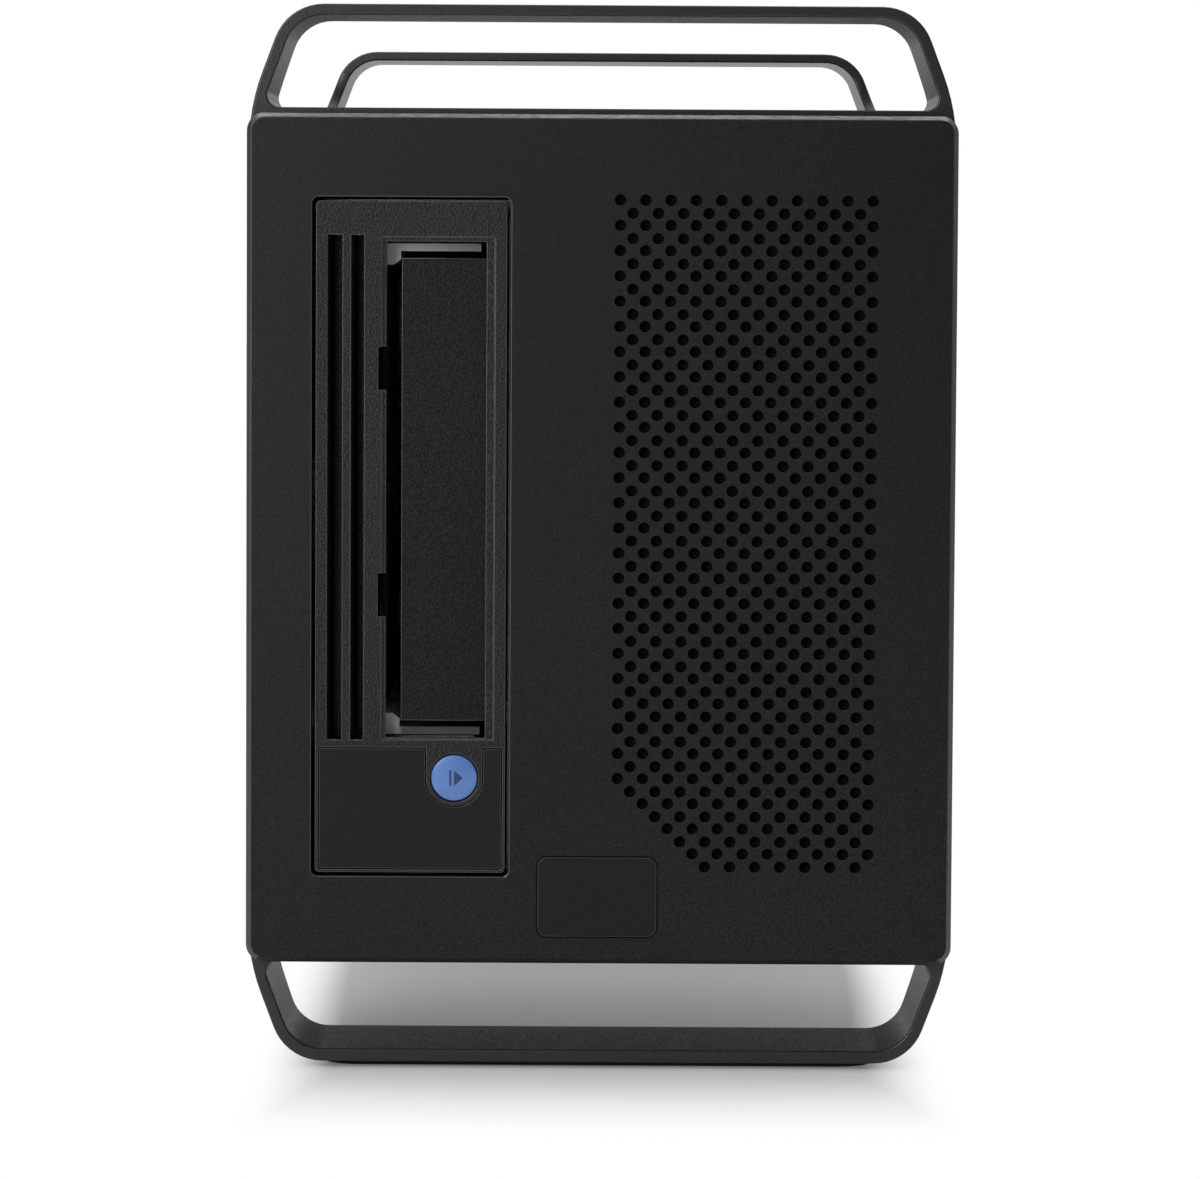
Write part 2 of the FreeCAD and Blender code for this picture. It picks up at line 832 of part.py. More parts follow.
def make_display_board():
    """Board with the display block behind the window and the switch behind the button."""
    back = display_front + board_thickness
    board = box(board_x0, board_x1, display_front, back, board_low, board_high)
    aperture_x1 = button_x - button_bore - 2 * notch_wall
    display = box(bezel_left + display_inset + window_margin, aperture_x1 - window_margin, bezel_wall + 1.0,
                  display_front, board_low + 2 * peg_inset, board_high - 2 * peg_inset)
    switch_top = button_length + button_travel + switch_gap
    half = switch_side / 2
    base = box(button_x - half, button_x + half, switch_top + plunger_rise, display_front, button_z - half,
               button_z + half)
    plunger = rod_y(plunger_radius, switch_top, display_front, button_x, button_z)
    return joined([board, display, base, plunger])


def make_eject_button():
    cap = rod_y(button_radius, 0, button_length, button_x, button_z)
    ball = (button_radius ** 2 + button_crown ** 2) / (2 * button_crown)
    dome = Part.makeSphere(ball, V(button_x, ball - button_crown, button_z))
    dome = dome.common(rod_y(button_radius, -2 * button_crown, beyond, button_x, button_z))
    flange = rod_y(button_radius + button_flange, bezel_wall + flange_gap, button_length, button_x, button_z)
    return joined([cap, dome, flange])


def make_door_flap():
    flap = plate_y(door_x0, door_axis_x, door_z0, door_z1, 0.0, door_front, door_front + door_thickness)
    barrel = rod_z(door_barrel_radius, door_z0, door_z1, door_axis_x, door_axis_y)
    rib = box(door_x0 + door_rib, door_x0 + 2 * door_rib, door_front + door_thickness - overlap,
              door_front + door_thickness + door_rib, door_z0 + 3 * door_rib, door_z1 - 3 * door_rib)
    flap = joined([flap, barrel, rib])
    return flap.cut(rod_z(door_pin_radius + bearing_play, door_z0 - beyond, door_z1 + beyond, door_axis_x,
                          door_axis_y))


def make_door_pin():
    low = door_z0 - ear_gap - ear_thickness
    high = door_z1 + ear_gap + ear_thickness
    return rod_z(door_pin_radius, low, high, door_axis_x, door_axis_y)


# Drive chassis and what stands on its floor
wall_low = drive_bottom + chassis_wall
wall_high = drive_top - chassis_wall
cradle_x0 = hole_x0 - cradle_floor - cradle_margin
cradle_x1 = cradle_x0 + cradle_depth
cradle_low = cartridge_z - cartridge_width / 2 - cradle_play
cradle_high = cartridge_z + cartridge_width / 2 + cradle_play
slider_low = cradle_low - cradle_wall - slider_gap
slider_high = cradle_high + cradle_wall + slider_gap
slider_x0 = floor_x + cradle_drop + slider_lift
slider_x1 = cradle_x1 - 1.3
slider_front = cradle_front + slider_inset
slider_back = cradle_front + cradle_length - slider_inset
rail_back = slider_back + cradle_travel + 2.0
rack_x0 = slider_x1 - rack_inset
pitch_radius = gear_module * gear_teeth / 2
rack_pitch_z = slider_low - slider_wall - 1.25 * gear_module
gear_z = rack_pitch_z - pitch_radius
wheel_radius = wheel_module * wheel_teeth / 2
pinion_radius = wheel_module * motor_teeth / 2
wheel_x0 = floor_x + 0.5
wheel_x1 = wheel_x0 + wheel_width
motor_angle = math.radians(motor_turn)
motor_y = gear_y + (wheel_radius + pinion_radius) * math.cos(motor_angle)
motor_z = gear_z + (wheel_radius + pinion_radius) * math.sin(motor_angle)
loader_motor_x0 = wheel_x1 + 0.6
loader_motor_x1 = rack_x0 - 1.0
pin_slot = cradle_pin_radius + cradle_pin_play
cradle_pin_x = cradle_x0 + cradle_pin_rise
tape_x0 = floor_x + tape_lift
tape_x1 = tape_x0 + tape_width + 0.35
head_x = (tape_x0 + tape_x1) / 2
threader_x0 = tape_x1 + reel_flange + threader_lift
drive_screw_x = drive_left + drive_screw_inset
drive_screw_ys = [bezel_depth + step for step in drive_screw_steps]
drive_thread = chassis_wall + screw_boss_rise - 0.5
controller_x0 = drive_left + cover_sheet + board_gap
controller_x1 = controller_x0 + board_thickness


def make_drive_chassis():
    left = drive_left + cover_sheet
    walls = [box(left, top_cover_x, bezel_depth, drive_back, drive_bottom, wall_low),
             box(left, top_cover_x, bezel_depth, drive_back, wall_high, drive_top),
             box(left, top_cover_x, drive_back - chassis_wall, drive_back, drive_bottom, drive_top),
             box(floor_x - chassis_floor, floor_x, bezel_depth, drive_back, drive_bottom, drive_top)]
    posts = [rod_x(post_radius, floor_x, tape_x1 + 2.0, y, z) for y, z in roller_places]
    posts += [rod_x(post_radius + collar_rim, floor_x, tape_x0 - 0.9, y, z) for y, z in roller_places]
    posts.append(rod_x(post_radius, floor_x, rack_x0 + 2.2 + gear_width, gear_y, gear_z))
    posts.append(rod_x(post_radius + collar_rim, floor_x, wheel_x0 - rail_play, gear_y, gear_z))
    posts.append(rod_x(post_radius, floor_x, threader_x0 + threader_thickness, threader_y, threader_z))
    posts.append(rod_x(post_radius + collar_rim, floor_x, threader_x0 - rail_play, threader_y, threader_z))
    rails = [box(floor_x, slider_x0 - rail_play, slider_front, rail_back, slider_low - slider_wall, slider_low),
             box(floor_x, slider_x0 - rail_play, slider_front, rail_back, slider_high, slider_high + slider_wall)]
    wheel_tip = wheel_radius + 2.5 * wheel_module
    notch = box(floor_x, slider_x0, gear_y - wheel_tip, gear_y + wheel_tip, slider_low - slider_wall - beyond,
                slider_low + beyond)
    rails = [rails[0].cut(notch), rails[1]]
    bosses = []
    for y in drive_screw_ys:
        bosses.append(rod_z(2 * m3_radius, drive_bottom, wall_low + screw_boss_rise, drive_screw_x, y))
        bosses.append(rod_z(2 * m3_radius, wall_high - screw_boss_rise, drive_top, drive_screw_x, y))
    standoffs = [rod_x(2.5, controller_x1, floor_x - chassis_floor, y, z) for y, z in controller_screws()]
    body = joined(walls + posts + rails + bosses + standoffs)
    cuts = [rod_x(shaft_radius + bearing_play, floor_x - chassis_floor - beyond, floor_x + beyond, y, z)
            for y, z in ((hub_y, cartridge_z), (reel_y, reel_z))]
    for y in drive_screw_ys:
        cuts.append(rod_z(m3_radius + thread_play, drive_bottom - beyond, wall_low + screw_boss_rise + beyond,
                          drive_screw_x, y))
        cuts.append(rod_z(m3_radius + thread_play, wall_high - screw_boss_rise - beyond, drive_top + beyond,
                          drive_screw_x, y))
    cuts.append(box(left - beyond, floor_x + 1.2, drive_back - 12.0, drive_back + beyond, connector_z0 - 1,
                    connector_z1 + 1))
    return body.cut(cuts)


def controller_screws():
    return [(y, z) for y in (28.0, drive_back - 24.0) for z in (wall_low + 6.0, wall_high - 6.0)]


def make_controller_board():
    """Control board under the chassis floor with its chips and memory."""
    board = box(controller_x0, controller_x1, bezel_depth + 6.0, drive_back - 14.0, wall_low + 1.0, wall_high - 1.0)
    top = controller_x1 + 1.4
    chips = [box(controller_x1, top, 46, 74, 70, 98), box(controller_x1, top, 84, 108, 120, 144),
             box(controller_x1, top, 120, 134, 70, 84), box(controller_x1, top, 140, 160, 100, 112),
             box(controller_x1, top, 150, 172, 150, 160)]
    tongue = box(controller_x0, controller_x1, drive_back - 14.0, drive_back - 10.0, connector_z0, connector_z1)
    return joined([board, tongue] + chips)


def make_drive_connector():
    body = box(controller_x0, controller_x1 + 4.4, drive_back - 10.0, drive_back + 1.0, connector_z0, connector_z1)
    mouth = box(controller_x0 + 1.2, controller_x1 + 3.2, drive_back - 6.0, drive_back + 2.0, connector_z0 + 1.5,
                connector_z1 - 1.5)
    blade = box(controller_x0 + 2.4, controller_x0 + 3.4, drive_back - 6.5, drive_back, connector_z0 + 3.0,
                connector_z1 - 3.0)
    return joined([body.cut(mouth), blade])


def make_drive_bottom_cover():
    """Thin sheet under the controller board, with slits pressed in it."""
    sheet = box(drive_left, drive_left + cover_sheet, bezel_depth + 0.5, drive_back, drive_bottom, drive_top)
    slits = [box(drive_left - beyond, drive_left + cover_sheet + beyond, 150, 170, z, z + 2.5)
             for z in range(80, 160, 8)]
    return sheet.cut(slits)


def make_drive_top_cover():
    """Thin sheet over the mechanism, with two pressed ribs."""
    sheet = box(top_cover_x, drive_right, bezel_depth + 0.5, drive_back, drive_bottom, drive_top)
    ribs = [box(drive_right, drive_right + 0.4, 30, drive_back - 20, z, z + 5) for z in (75.0, 155.0)]
    return joined([sheet] + ribs)


def make_loader_slider():
    """Two side plates joined by a bridge, with cam slots for the cradle's pins and a rack."""
    low = box(slider_x0, slider_x1, slider_front, slider_back, slider_low - slider_wall, slider_low)
    high = box(slider_x0, slider_x1, slider_front, slider_back, slider_high, slider_high + slider_wall)
    bridge_y0 = slider_back - slider_bridge - 4.0
    bridge_y1 = bridge_y0 + slider_bridge
    bridge_x0 = top_cover_x - 2.6
    bridge_x1 = top_cover_x - 1.2
    ends = [box(slider_x1 - 1.0, bridge_x1, bridge_y0, bridge_y1, slider_low - slider_wall, slider_low),
            box(slider_x1 - 1.0, bridge_x1, bridge_y0, bridge_y1, slider_high, slider_high + slider_wall)]
    bridge = box(bridge_x0, bridge_x1, bridge_y0, bridge_y1, slider_low - slider_wall, slider_high + slider_wall)
    step = math.pi * gear_module
    half = step / 4 - backlash / 2
    slope = math.tan(math.radians(20))
    tip = 0.95 * gear_module
    root = 1.25 * gear_module
    first = -rack_teeth_front
    corners = [(gear_y + (first - 0.5) * step, rack_pitch_z + root + 0.2, 0)]
    for tooth in range(first, rack_teeth_back + 1):
        middle = gear_y + tooth * step
        corners += [(middle - half - root * slope, rack_pitch_z + root, 0),
                    (middle - half + tip * slope, rack_pitch_z - tip, 0),
                    (middle + half - tip * slope, rack_pitch_z - tip, 0),
                    (middle + half + root * slope, rack_pitch_z + root, 0)]
    corners.append((gear_y + (rack_teeth_back + 0.5) * step, rack_pitch_z + root + 0.2, 0))
    rack = prism_x(corners, rack_x0, rack_x0 + gear_width)
    body = joined([low, high, bridge, rack] + ends)
    slots = []
    for y in cradle_pin_ys:
        x0 = cradle_pin_x - cradle_drop
        slot = joined([box(x0, cradle_pin_x, y - pin_slot, y + pin_slot, slider_low - 2, slider_high + 2),
                       rod_z(pin_slot, slider_low - 2, slider_high + 2, x0, y),
                       rod_z(pin_slot, slider_low - 2, slider_high + 2, cradle_pin_x, y)])
        slots.append(slot)
    return body.cut(slots)


def make_cartridge_cradle():
    """Tray that holds the cartridge: floor with an opening for the hub, two walls, corner guides."""
    back = cradle_front + cradle_length
    guide_back = cradle_front + guide_length
    floor = box(cradle_x0, cradle_x0 + cradle_floor, guide_back - overlap, back, cradle_low - cradle_wall,
                cradle_high + cradle_wall)
    walls = [box(cradle_x0, cradle_x1, cradle_front, back, cradle_low - cradle_wall, cradle_low),
             box(cradle_x0, cradle_x1, cradle_front, back, cradle_high, cradle_high + cradle_wall)]
    guide_x0 = hole_x0 - 0.3
    guide_x1 = guide_x0 + guide_width
    low_guide = [(guide_x0, cradle_low - 0.2, 0), (guide_x1, cradle_low - 0.2, 0),
                 (guide_x1, cradle_low + 0.6 * cradle_block, 0),
                 (guide_x1 - guide_chamfer, cradle_low + cradle_block, 0), (guide_x0, cradle_low + cradle_block, 0)]
    flip = cradle_low + cradle_high
    high_guide = [(x, flip - z, radius) for x, z, radius in low_guide]
    guides = [prism_y(low_guide, cradle_front, guide_back), prism_y(high_guide, cradle_front, guide_back)]
    webs = [box(cradle_x0, guide_x0 + overlap, cradle_front, guide_back, cradle_low - overlap,
                cradle_low + cradle_block),
            box(cradle_x0, guide_x0 + overlap, cradle_front, guide_back, cradle_high - cradle_block,
                cradle_high + overlap)]
    pins = []
    reach = cradle_wall + slider_gap + slider_wall + 0.5
    for y in cradle_pin_ys:
        pins.append(rod_z(cradle_pin_radius, cradle_low - reach, cradle_low - 0.5, cradle_pin_x, y))
        pins.append(rod_z(cradle_pin_radius, cradle_high + 0.5, cradle_high + reach, cradle_pin_x, y))
    body = joined([floor] + walls + guides + webs + pins)
    reach = hub_motor_radius + 2.0
    opening = prism_x([(hub_y - cradle_travel - reach, cartridge_z - reach, reach - 2),
                       (hub_y + reach, cartridge_z - reach, reach - 2),
                       (hub_y + reach, cartridge_z + reach, reach - 2),
                       (hub_y - cradle_travel - reach, cartridge_z + reach, reach - 2)],
                      cradle_x0 - beyond, cradle_x0 + cradle_floor + beyond)
    return body.cut(opening)


def make_loader_gear():
    """Large wheel below, small gear above in mesh with the slider's rack."""
    turn = math.pi / 2 + math.pi / gear_teeth
    small = gear_x(gear_module, gear_teeth, turn, rack_x0 - overlap, rack_x0 + gear_width + overlap, gear_y, gear_z)
    large = gear_x(wheel_module, wheel_teeth, motor_angle, wheel_x0, wheel_x1, gear_y, gear_z)
    hub = rod_x(post_radius + 1.4, wheel_x0, rack_x0 + 1.0, gear_y, gear_z)
    body = joined([small, large, hub])
    return body.cut(rod_x(post_radius + bearing_play, wheel_x0 - beyond, rack_x0 + gear_width + 2, gear_y, gear_z))


def make_motor_pinion():
    turn = motor_angle + math.pi + math.pi / motor_teeth
    teeth = gear_x(wheel_module, motor_teeth, turn, wheel_x0, wheel_x1, motor_y, motor_z)
    shaft = rod_x(0.9, wheel_x0, loader_motor_x0 + 3.0, motor_y, motor_z)
    return joined([teeth, shaft])


def make_loader_motor():
    can = rod_x(loader_motor_radius, loader_motor_x0, loader_motor_x1, motor_y, motor_z)
    legs = []
    for turn in loader_leg_turns:
        angle = math.radians(turn)
        legs.append(rod_x(loader_leg_radius, floor_x, loader_motor_x0 + 1.0,
                          motor_y + loader_leg_reach * math.cos(angle), motor_z + loader_leg_reach * math.sin(angle)))
    body = joined([can] + legs)
    return body.cut(rod_x(0.95, loader_motor_x0 - beyond, loader_motor_x0 + 3.2, motor_y, motor_z))


def reel_motor(radius, height, y, z):
    can = rod_x(radius, floor_x, floor_x + height, y, z)
    return can.cut(rod_x(shaft_radius + bearing_play, floor_x - beyond, floor_x + height + beyond, y, z))


def make_supply_motor():
    return reel_motor(hub_motor_radius, reel_motor_height, hub_y, cartridge_z)


def make_takeup_motor():
    return reel_motor(reel_motor_radius, tape_x0 - reel_flange - 0.4 - floor_x, reel_y, reel_z)


def make_supply_hub():
    """Clutch disc that turns the cartridge's reel, with a ring of drive teeth."""
    x0 = floor_x + reel_motor_height + 0.3
    x1 = x0 + hub_height
    disc = rod_x(hub_radius, x0, x1, hub_y, cartridge_z)
    shaft = rod_x(shaft_radius, floor_x - chassis_floor, x0 + 0.5, hub_y, cartridge_z)
    ring = rod_x(hub_radius - 1.0, x1 - 0.2, x1 + 0.6, hub_y, cartridge_z)
    ring = ring.cut(rod_x(hub_radius - 4.0, x1 - 0.3, x1 + beyond, hub_y, cartridge_z))
    grooves = []
    for i in range(24):
        angle = 2 * math.pi * i / 24
        groove = box(x1, x1 + beyond, hub_radius - 5.0, hub_radius, -0.6, 0.6)
        groove.rotate(V(0, 0, 0), V(1, 0, 0), math.degrees(angle))
        groove.translate(V(0, hub_y, cartridge_z))
        grooves.append(groove)
    return joined([disc, shaft, ring]).cut(grooves)


def make_takeup_reel():
    core = rod_x(reel_core_radius, tape_x0 - reel_flange, tape_x1 + reel_flange, reel_y, reel_z)
    low = rod_x(reel_radius, tape_x0 - reel_flange, tape_x0, reel_y, reel_z)
    high = rod_x(reel_radius, tape_x1, tape_x1 + reel_flange, reel_y, reel_z)
    shaft = rod_x(shaft_radius, floor_x - chassis_floor, tape_x0, reel_y, reel_z)
    reel = joined([core, low, high, shaft])
    lights = []
    for i in range(3):
        angle = 2 * math.pi * i / 3
        y = reel_y + 27.0 * math.cos(angle)
        z = reel_z + 27.0 * math.sin(angle)
        lights.append(rod_x(5.5, tape_x0 - 3, tape_x1 + 3, y, z))
    return reel.cut(lights)


def make_guide_roller(index):
    """Grooved roller that carries the tape between its flanges."""
    y, z = roller_places[index]
    rim = 0.6
    x0 = tape_x0 - rim - 0.1
    x1 = tape_x1 + rim
    body = rod_x(roller_radius, x0, x1, y, z)
    groove = rod_x(roller_radius + beyond, x0 + rim, x1 - rim, y, z)
    groove = groove.cut(rod_x(roller_radius - 0.6, x0, x1, y, z))
    return body.cut([groove, rod_x(post_radius + bearing_play, x0 - beyond, x1 + beyond, y, z)])


def make_head_block():
    """Read and write head that slides on its two posts, with its flat coil."""
    half = head_size / 2
    block = box(head_x - half, head_x + half, head_y - head_depth / 2, head_y + head_depth / 2,
                head_z - head_height / 2, head_z + head_height / 2)
    face = rod_x(3.0, head_x - 5.5, head_x + 5.5, head_y, head_z - 5.5)
    coil = box(head_x - 4, head_x + 4, head_y - 3.5, head_y + 3.5, head_z + 6, head_z + 23)
    coil_hole = box(head_x - 5, head_x + 5, head_y - 1.8, head_y + 1.8, head_z + 10, head_z + 20)
    body = joined([block, face, coil.cut(coil_hole)])
    bores = [rod_x(post_radius + bearing_play, head_x - head_size, head_x + head_size, head_y,
                   head_z + side * head_post_offset) for side in (-1, 1)]
    return body.cut(bores)


def make_head_posts():
    top = head_x + head_size / 2 + head_travel + 1.0
    posts = [rod_x(post_radius, floor_x, top, head_y, head_z + side * head_post_offset) for side in (-1, 1)]
    return Part.makeCompound(posts)


def make_head_magnet():
    """Iron yoke round the head's coil, standing on the floor."""
    low = head_z + 9.5
    high = head_z + 27.0
    top = head_x + head_size / 2
    block = box(floor_x, top, head_y - magnet_half, head_y + magnet_half, low, high)
    gap = box(floor_x + magnet_wall, top + beyond, head_y - magnet_half / 2, head_y + magnet_half / 2, low - beyond,
              high - magnet_wall)
    return block.cut(gap)


def make_threader_arm():
    """Arm that swings the leader hook from the cartridge to the take-up reel."""
    x1 = threader_x0 + threader_thickness
    end_z = threader_z + threader_reach
    arm = box(threader_x0, x1, threader_y - threader_width / 2, threader_y + threader_width / 2, threader_z, end_z)
    ends = [rod_x(threader_width / 2, threader_x0, x1, threader_y, z) for z in (threader_z, end_z)]
    hook = rod_x(1.5, threader_x0 - 0.9, x1, threader_y, end_z)
    body = joined([arm, hook] + ends)
    return body.cut(rod_x(post_radius + bearing_play, threader_x0 - beyond, x1 + beyond, threader_y, threader_z))


# Drive cage
cage_front = bezel_depth + 2.0
web_x0 = drive_right + cage_gap
web_x1 = web_x0 + cage_sheet
cage_left = drive_left + 1.0
cage_screw_places = [(web_x1 + cage_foot / 2, y) for y in cage_screw_ys]


def make_drive_cage():
    """Bent sheet round the drive: web on its right, shelves below and above it, legs to the tray."""
    web = box(web_x0, web_x1, cage_front, web_back, tray_top, drive_top + cage_sheet)
    low = box(cage_left, web_x1, cage_front, cage_back, drive_bottom - cage_sheet, drive_bottom)
    high = box(cage_left, web_x1, cage_front, cage_back, drive_top, drive_top + cage_sheet)
    leg = box(cage_left, cage_left + cage_sheet, cage_front, cage_back, tray_top, drive_bottom)
    foot = box(web_x0, web_x1 + cage_foot, cage_front, cage_back, tray_top, tray_top + cage_sheet)
    cage = joined([web, low, high, leg, foot])
    holes = [rod_z(m3_radius + screw_play, tray_top - beyond, tray_top + cage_sheet + beyond, x, y)
             for x, y in cage_screw_places]
    for y in drive_screw_ys:
        holes.append(rod_z(m3_radius + screw_play, drive_bottom - cage_sheet - beyond, drive_bottom + beyond,
                           drive_screw_x, y))
        holes.append(rod_z(m3_radius + screw_play, drive_top - beyond, drive_top + cage_sheet + beyond,
                           drive_screw_x, y))
    for y, z in standoff_places:
        holes.append(rod_x(m3_radius + screw_play, web_x0 - beyond, web_x1 + beyond, y, z))
    holes.append(box(web_x0 - beyond, web_x1 + beyond, drive_back - cable_margin, cable_turn_y + cable_margin,
                     connector_z0 - cable_margin, connector_z1 + cable_margin))
    return cage.cut(holes)


def make_drive_screws():
    """Screws through the cage's shelves into the sides of the drive."""
    grip = cage_sheet + drive_thread
    screws = []
    for y in drive_screw_ys:
        screws.append(pan_screw(V(drive_screw_x, y, drive_bottom + drive_thread), V(0, 0, -1), m3_radius, grip,
                                m3_head_radius, m3_head_height))
        screws.append(pan_screw(V(drive_screw_x, y, drive_top - drive_thread), V(0, 0, 1), m3_radius, grip,
                                m3_head_radius, m3_head_height))
    return Part.makeCompound(screws)


# Bridge board on its standoffs, with the rear connectors
bridge_x1 = bridge_x0 + board_thickness
bridge_front = web_back - 20.0
bridge_back = total_depth - panel_thickness - 0.5
cable_x = controller_x0 + 2.9
cable_start_y = drive_back + 1.0
cable_turn_y = bridge_front + plug_depth + 1.0
board_plug_x = bridge_x0 - plug_depth
standoff_places = [(web_back - 8.0, z) for z in (bridge_low + 8.0, middle_z, bridge_high - 8.0)]


def make_bridge_board():
    board = box(bridge_x0, bridge_x1, bridge_front, bridge_back, bridge_low, bridge_high)
    top = bridge_x1 + 1.6
    chips = [box(bridge_x1, top, 246, 262, 92, 108), box(bridge_x1, top, 270, 282, 120, 132),
             box(bridge_x1, top, 252, 264, 140, 152), box(bridge_x1, bridge_x1 + 8, 232, 242, 66, 80),
             box(bridge_x1, bridge_x1 + 5, 268, 300, 60, 72)]
    board = joined([board] + chips)
    holes = [rod_x(m3_radius + screw_play, bridge_x0 - beyond, bridge_x1 + beyond, y, z) for y, z in standoff_places]
    return board.cut(holes)


def make_data_cable():
    """Flat cable from the drive's connector, through the cage's window, to the bridge board."""
    x0 = cable_x - cable_thickness / 2
    x1 = cable_x + cable_thickness / 2
    y0 = cable_turn_y - cable_thickness / 2
    y1 = cable_turn_y + cable_thickness / 2
    inside = cable_radius
    outside = cable_radius + cable_thickness
    path = [(x0, cable_start_y, 0), (x1, cable_start_y, 0), (x1, y0, inside), (board_plug_x, y0, 0),
            (board_plug_x, y1, 0), (x0, y1, outside)]
    strip = prism_z(path, connector_z0 + cable_margin, connector_z1 - cable_margin)
    plug = box(cable_x - plug_depth / 2, cable_x + plug_depth / 2, cable_start_y, cable_start_y + plug_depth,
               connector_z0 + cable_margin, connector_z1 - cable_margin)
    socket = box(board_plug_x - beyond, bridge_x0, cable_turn_y - plug_depth, cable_turn_y + plug_depth,
                 connector_z0 + cable_margin - beyond, connector_z1 - cable_margin + beyond)
    return joined([strip, plug, socket])


def make_board_standoffs():
    spacers = []
    for y, z in standoff_places:
        spacer = rod_x(standoff_radius, web_x1, bridge_x0, y, z)
        bore = rod_x(m3_radius + thread_play, web_x1 - beyond, bridge_x0 + beyond, y, z)
        spacers.append(spacer.cut(bore))
    return Part.makeCompound(spacers)


def make_board_screws():
    """Screws from both sides into the standoffs."""
    screws = []
    grip = 5.0
    for y, z in standoff_places:
        screws.append(pan_screw(V(bridge_x0 - grip, y, z), V(1, 0, 0), m3_radius, grip + board_thickness,
                                m3_head_radius, m3_head_height))
        screws.append(pan_screw(V(web_x1 + grip, y, z), V(-1, 0, 0), m3_radius, grip + cage_sheet,
                                m3_head_radius, m3_head_height))
    return Part.makeCompound(screws)


def port_tools(grow, y0, y1):
    return [plate_y(bridge_x1 - grow, bridge_x1 + wide + grow, z - tall / 2 - grow, z + tall / 2 + grow,
                    min(wide, tall) * 0.25, y0, y1) for wide, tall, z in port_sizes]


def make_port_connectors():
    """Metal shells of the rear connectors, each with its tongue."""
    shells = []
    back = total_depth - panel_thickness + port_reach
    for wide, tall, z in port_sizes:
        x1 = bridge_x1 + wide
        radius = min(wide, tall) * 0.25
        shell = plate_y(bridge_x1, x1, z - tall / 2, z + tall / 2, radius, back - port_length, back)
        mouth = plate_y(bridge_x1 + port_wall, x1 - port_wall, z - tall / 2 + port_wall, z + tall / 2 - port_wall,
                        radius / 2, back - port_length + 2.0, back + beyond)
        tongue = box(bridge_x1 + wide / 2 - 0.35, bridge_x1 + wide / 2 + 0.35, back - port_length + 1.0, back - 1.0,
                     z - tall / 2 + 1.5, z + tall / 2 - 1.5)
        shells.append(joined([shell.cut(mouth), tongue]))
    return Part.makeCompound(shells)


# Rear panel with its sunk field
rear_face = total_depth - panel_thickness
rear_sink = 3.0
rear_wall_back = total_depth - rear_sink
rear_field_half = ring_inner_x - flange_width - 4.0
rear_field_low = ring_bottom + flange_width + 2.0
rear_field_high = ring_top - flange_width - 3.0
inlet_width = 27.4
inlet_height = 20.0
inlet_depth = 22.0
switch_width = 19.4
switch_height = 13.0
switch_depth = 14.0
vent_x = 20.0
vent_top = 190.0
slot_x = -52.0
slot_z = 50.0
fan_hole_offset = 25.0


def fan_grille_places():
    places = []
    reach = fan_size / 2 - fan_wall - 1.5 * hole_diameter
    count = int(reach / hole_pitch) + 1
    for row in range(-2 * count, 2 * count + 1):
        odd = row % 2
        for column in range(-count, count + 1):
            x = hole_pitch * (column + 0.5 * odd)
            z = hole_pitch * row / 2
            if math.hypot(x, z) <= reach:
                places.append((fan_x + x, fan_z + z))
    return places


def fan_screw_places():
    return [(fan_x + i * fan_hole_offset, fan_z + j * fan_hole_offset) for i in (-1, 1) for j in (-1, 1)]


def make_rear_panel():
    plate = mirrored_y(end_plate())
    field = plate_y(-rear_field_half, rear_field_half, rear_field_low, rear_field_high, 5.0, rear_wall_back,
                    total_depth + beyond)
    plate = plate.cut(field)
    tools = [rod_y(hole_diameter / 2, rear_face - beyond, total_depth, x, z) for x, z in fan_grille_places()]
    for along, down in staggered_holes(8, 9):
        tools.append(rod_y(hole_diameter / 2, rear_face - beyond, total_depth, vent_x + along, vent_top - down))
    for x, z in fan_screw_places():
        tools.append(rod_y(m3_radius + screw_play, rear_face - beyond, total_depth, x, z))
    tools.append(plate_y(inlet_x - inlet_width / 2, inlet_x + inlet_width / 2, inlet_z - inlet_height / 2,
                         inlet_z + inlet_height / 2, 2.0, rear_face - beyond, total_depth))
    tools.append(plate_y(inlet_x - switch_width / 2, inlet_x + switch_width / 2, switch_z - switch_height / 2,
                         switch_z + switch_height / 2, 0.5, rear_face - beyond, total_depth))
    tools.append(plate_y(slot_x - 1.5, slot_x + 1.5, slot_z - 3.5, slot_z + 3.5, 0.8, rear_face - beyond, total_depth))
    tools += port_tools(0.4, rear_face - beyond, total_depth)
    for x, z in panel_screw_places:
        tools.append(rod_y(m3_radius + screw_play, rear_face - beyond, total_depth + beyond, x, z))
        tools.append(rod_y(sink_radius, total_depth - sink_depth, total_depth + beyond, x, z))
    return plate.cut(tools)


def make_rear_screws():
    shank = panel_thickness - sink_depth + flange_thickness
    screws = []
    for x, z in panel_screw_places:
        tip = V(x, total_depth - sink_depth - shank, z)
        screws.append(pan_screw(tip, V(0, 1, 0), m3_radius, shank, m3_head_radius, m3_head_height))
    return Part.makeCompound(screws)


def make_fan_screws():
    grip = 8.0
    shank = rear_wall_back - rear_face + grip
    screws = []
    for x, z in fan_screw_places():
        tip = V(x, rear_face - grip, z)
        screws.append(pan_screw(tip, V(0, 1, 0), m3_radius, shank, m3_head_radius, m3_head_height))
    return Part.makeCompound(screws)


fan_front = rear_face - fan_thickness
duct_radius = fan_size / 2 - fan_wall
fan_base = 3.0
fan_stub_radius = 1.5


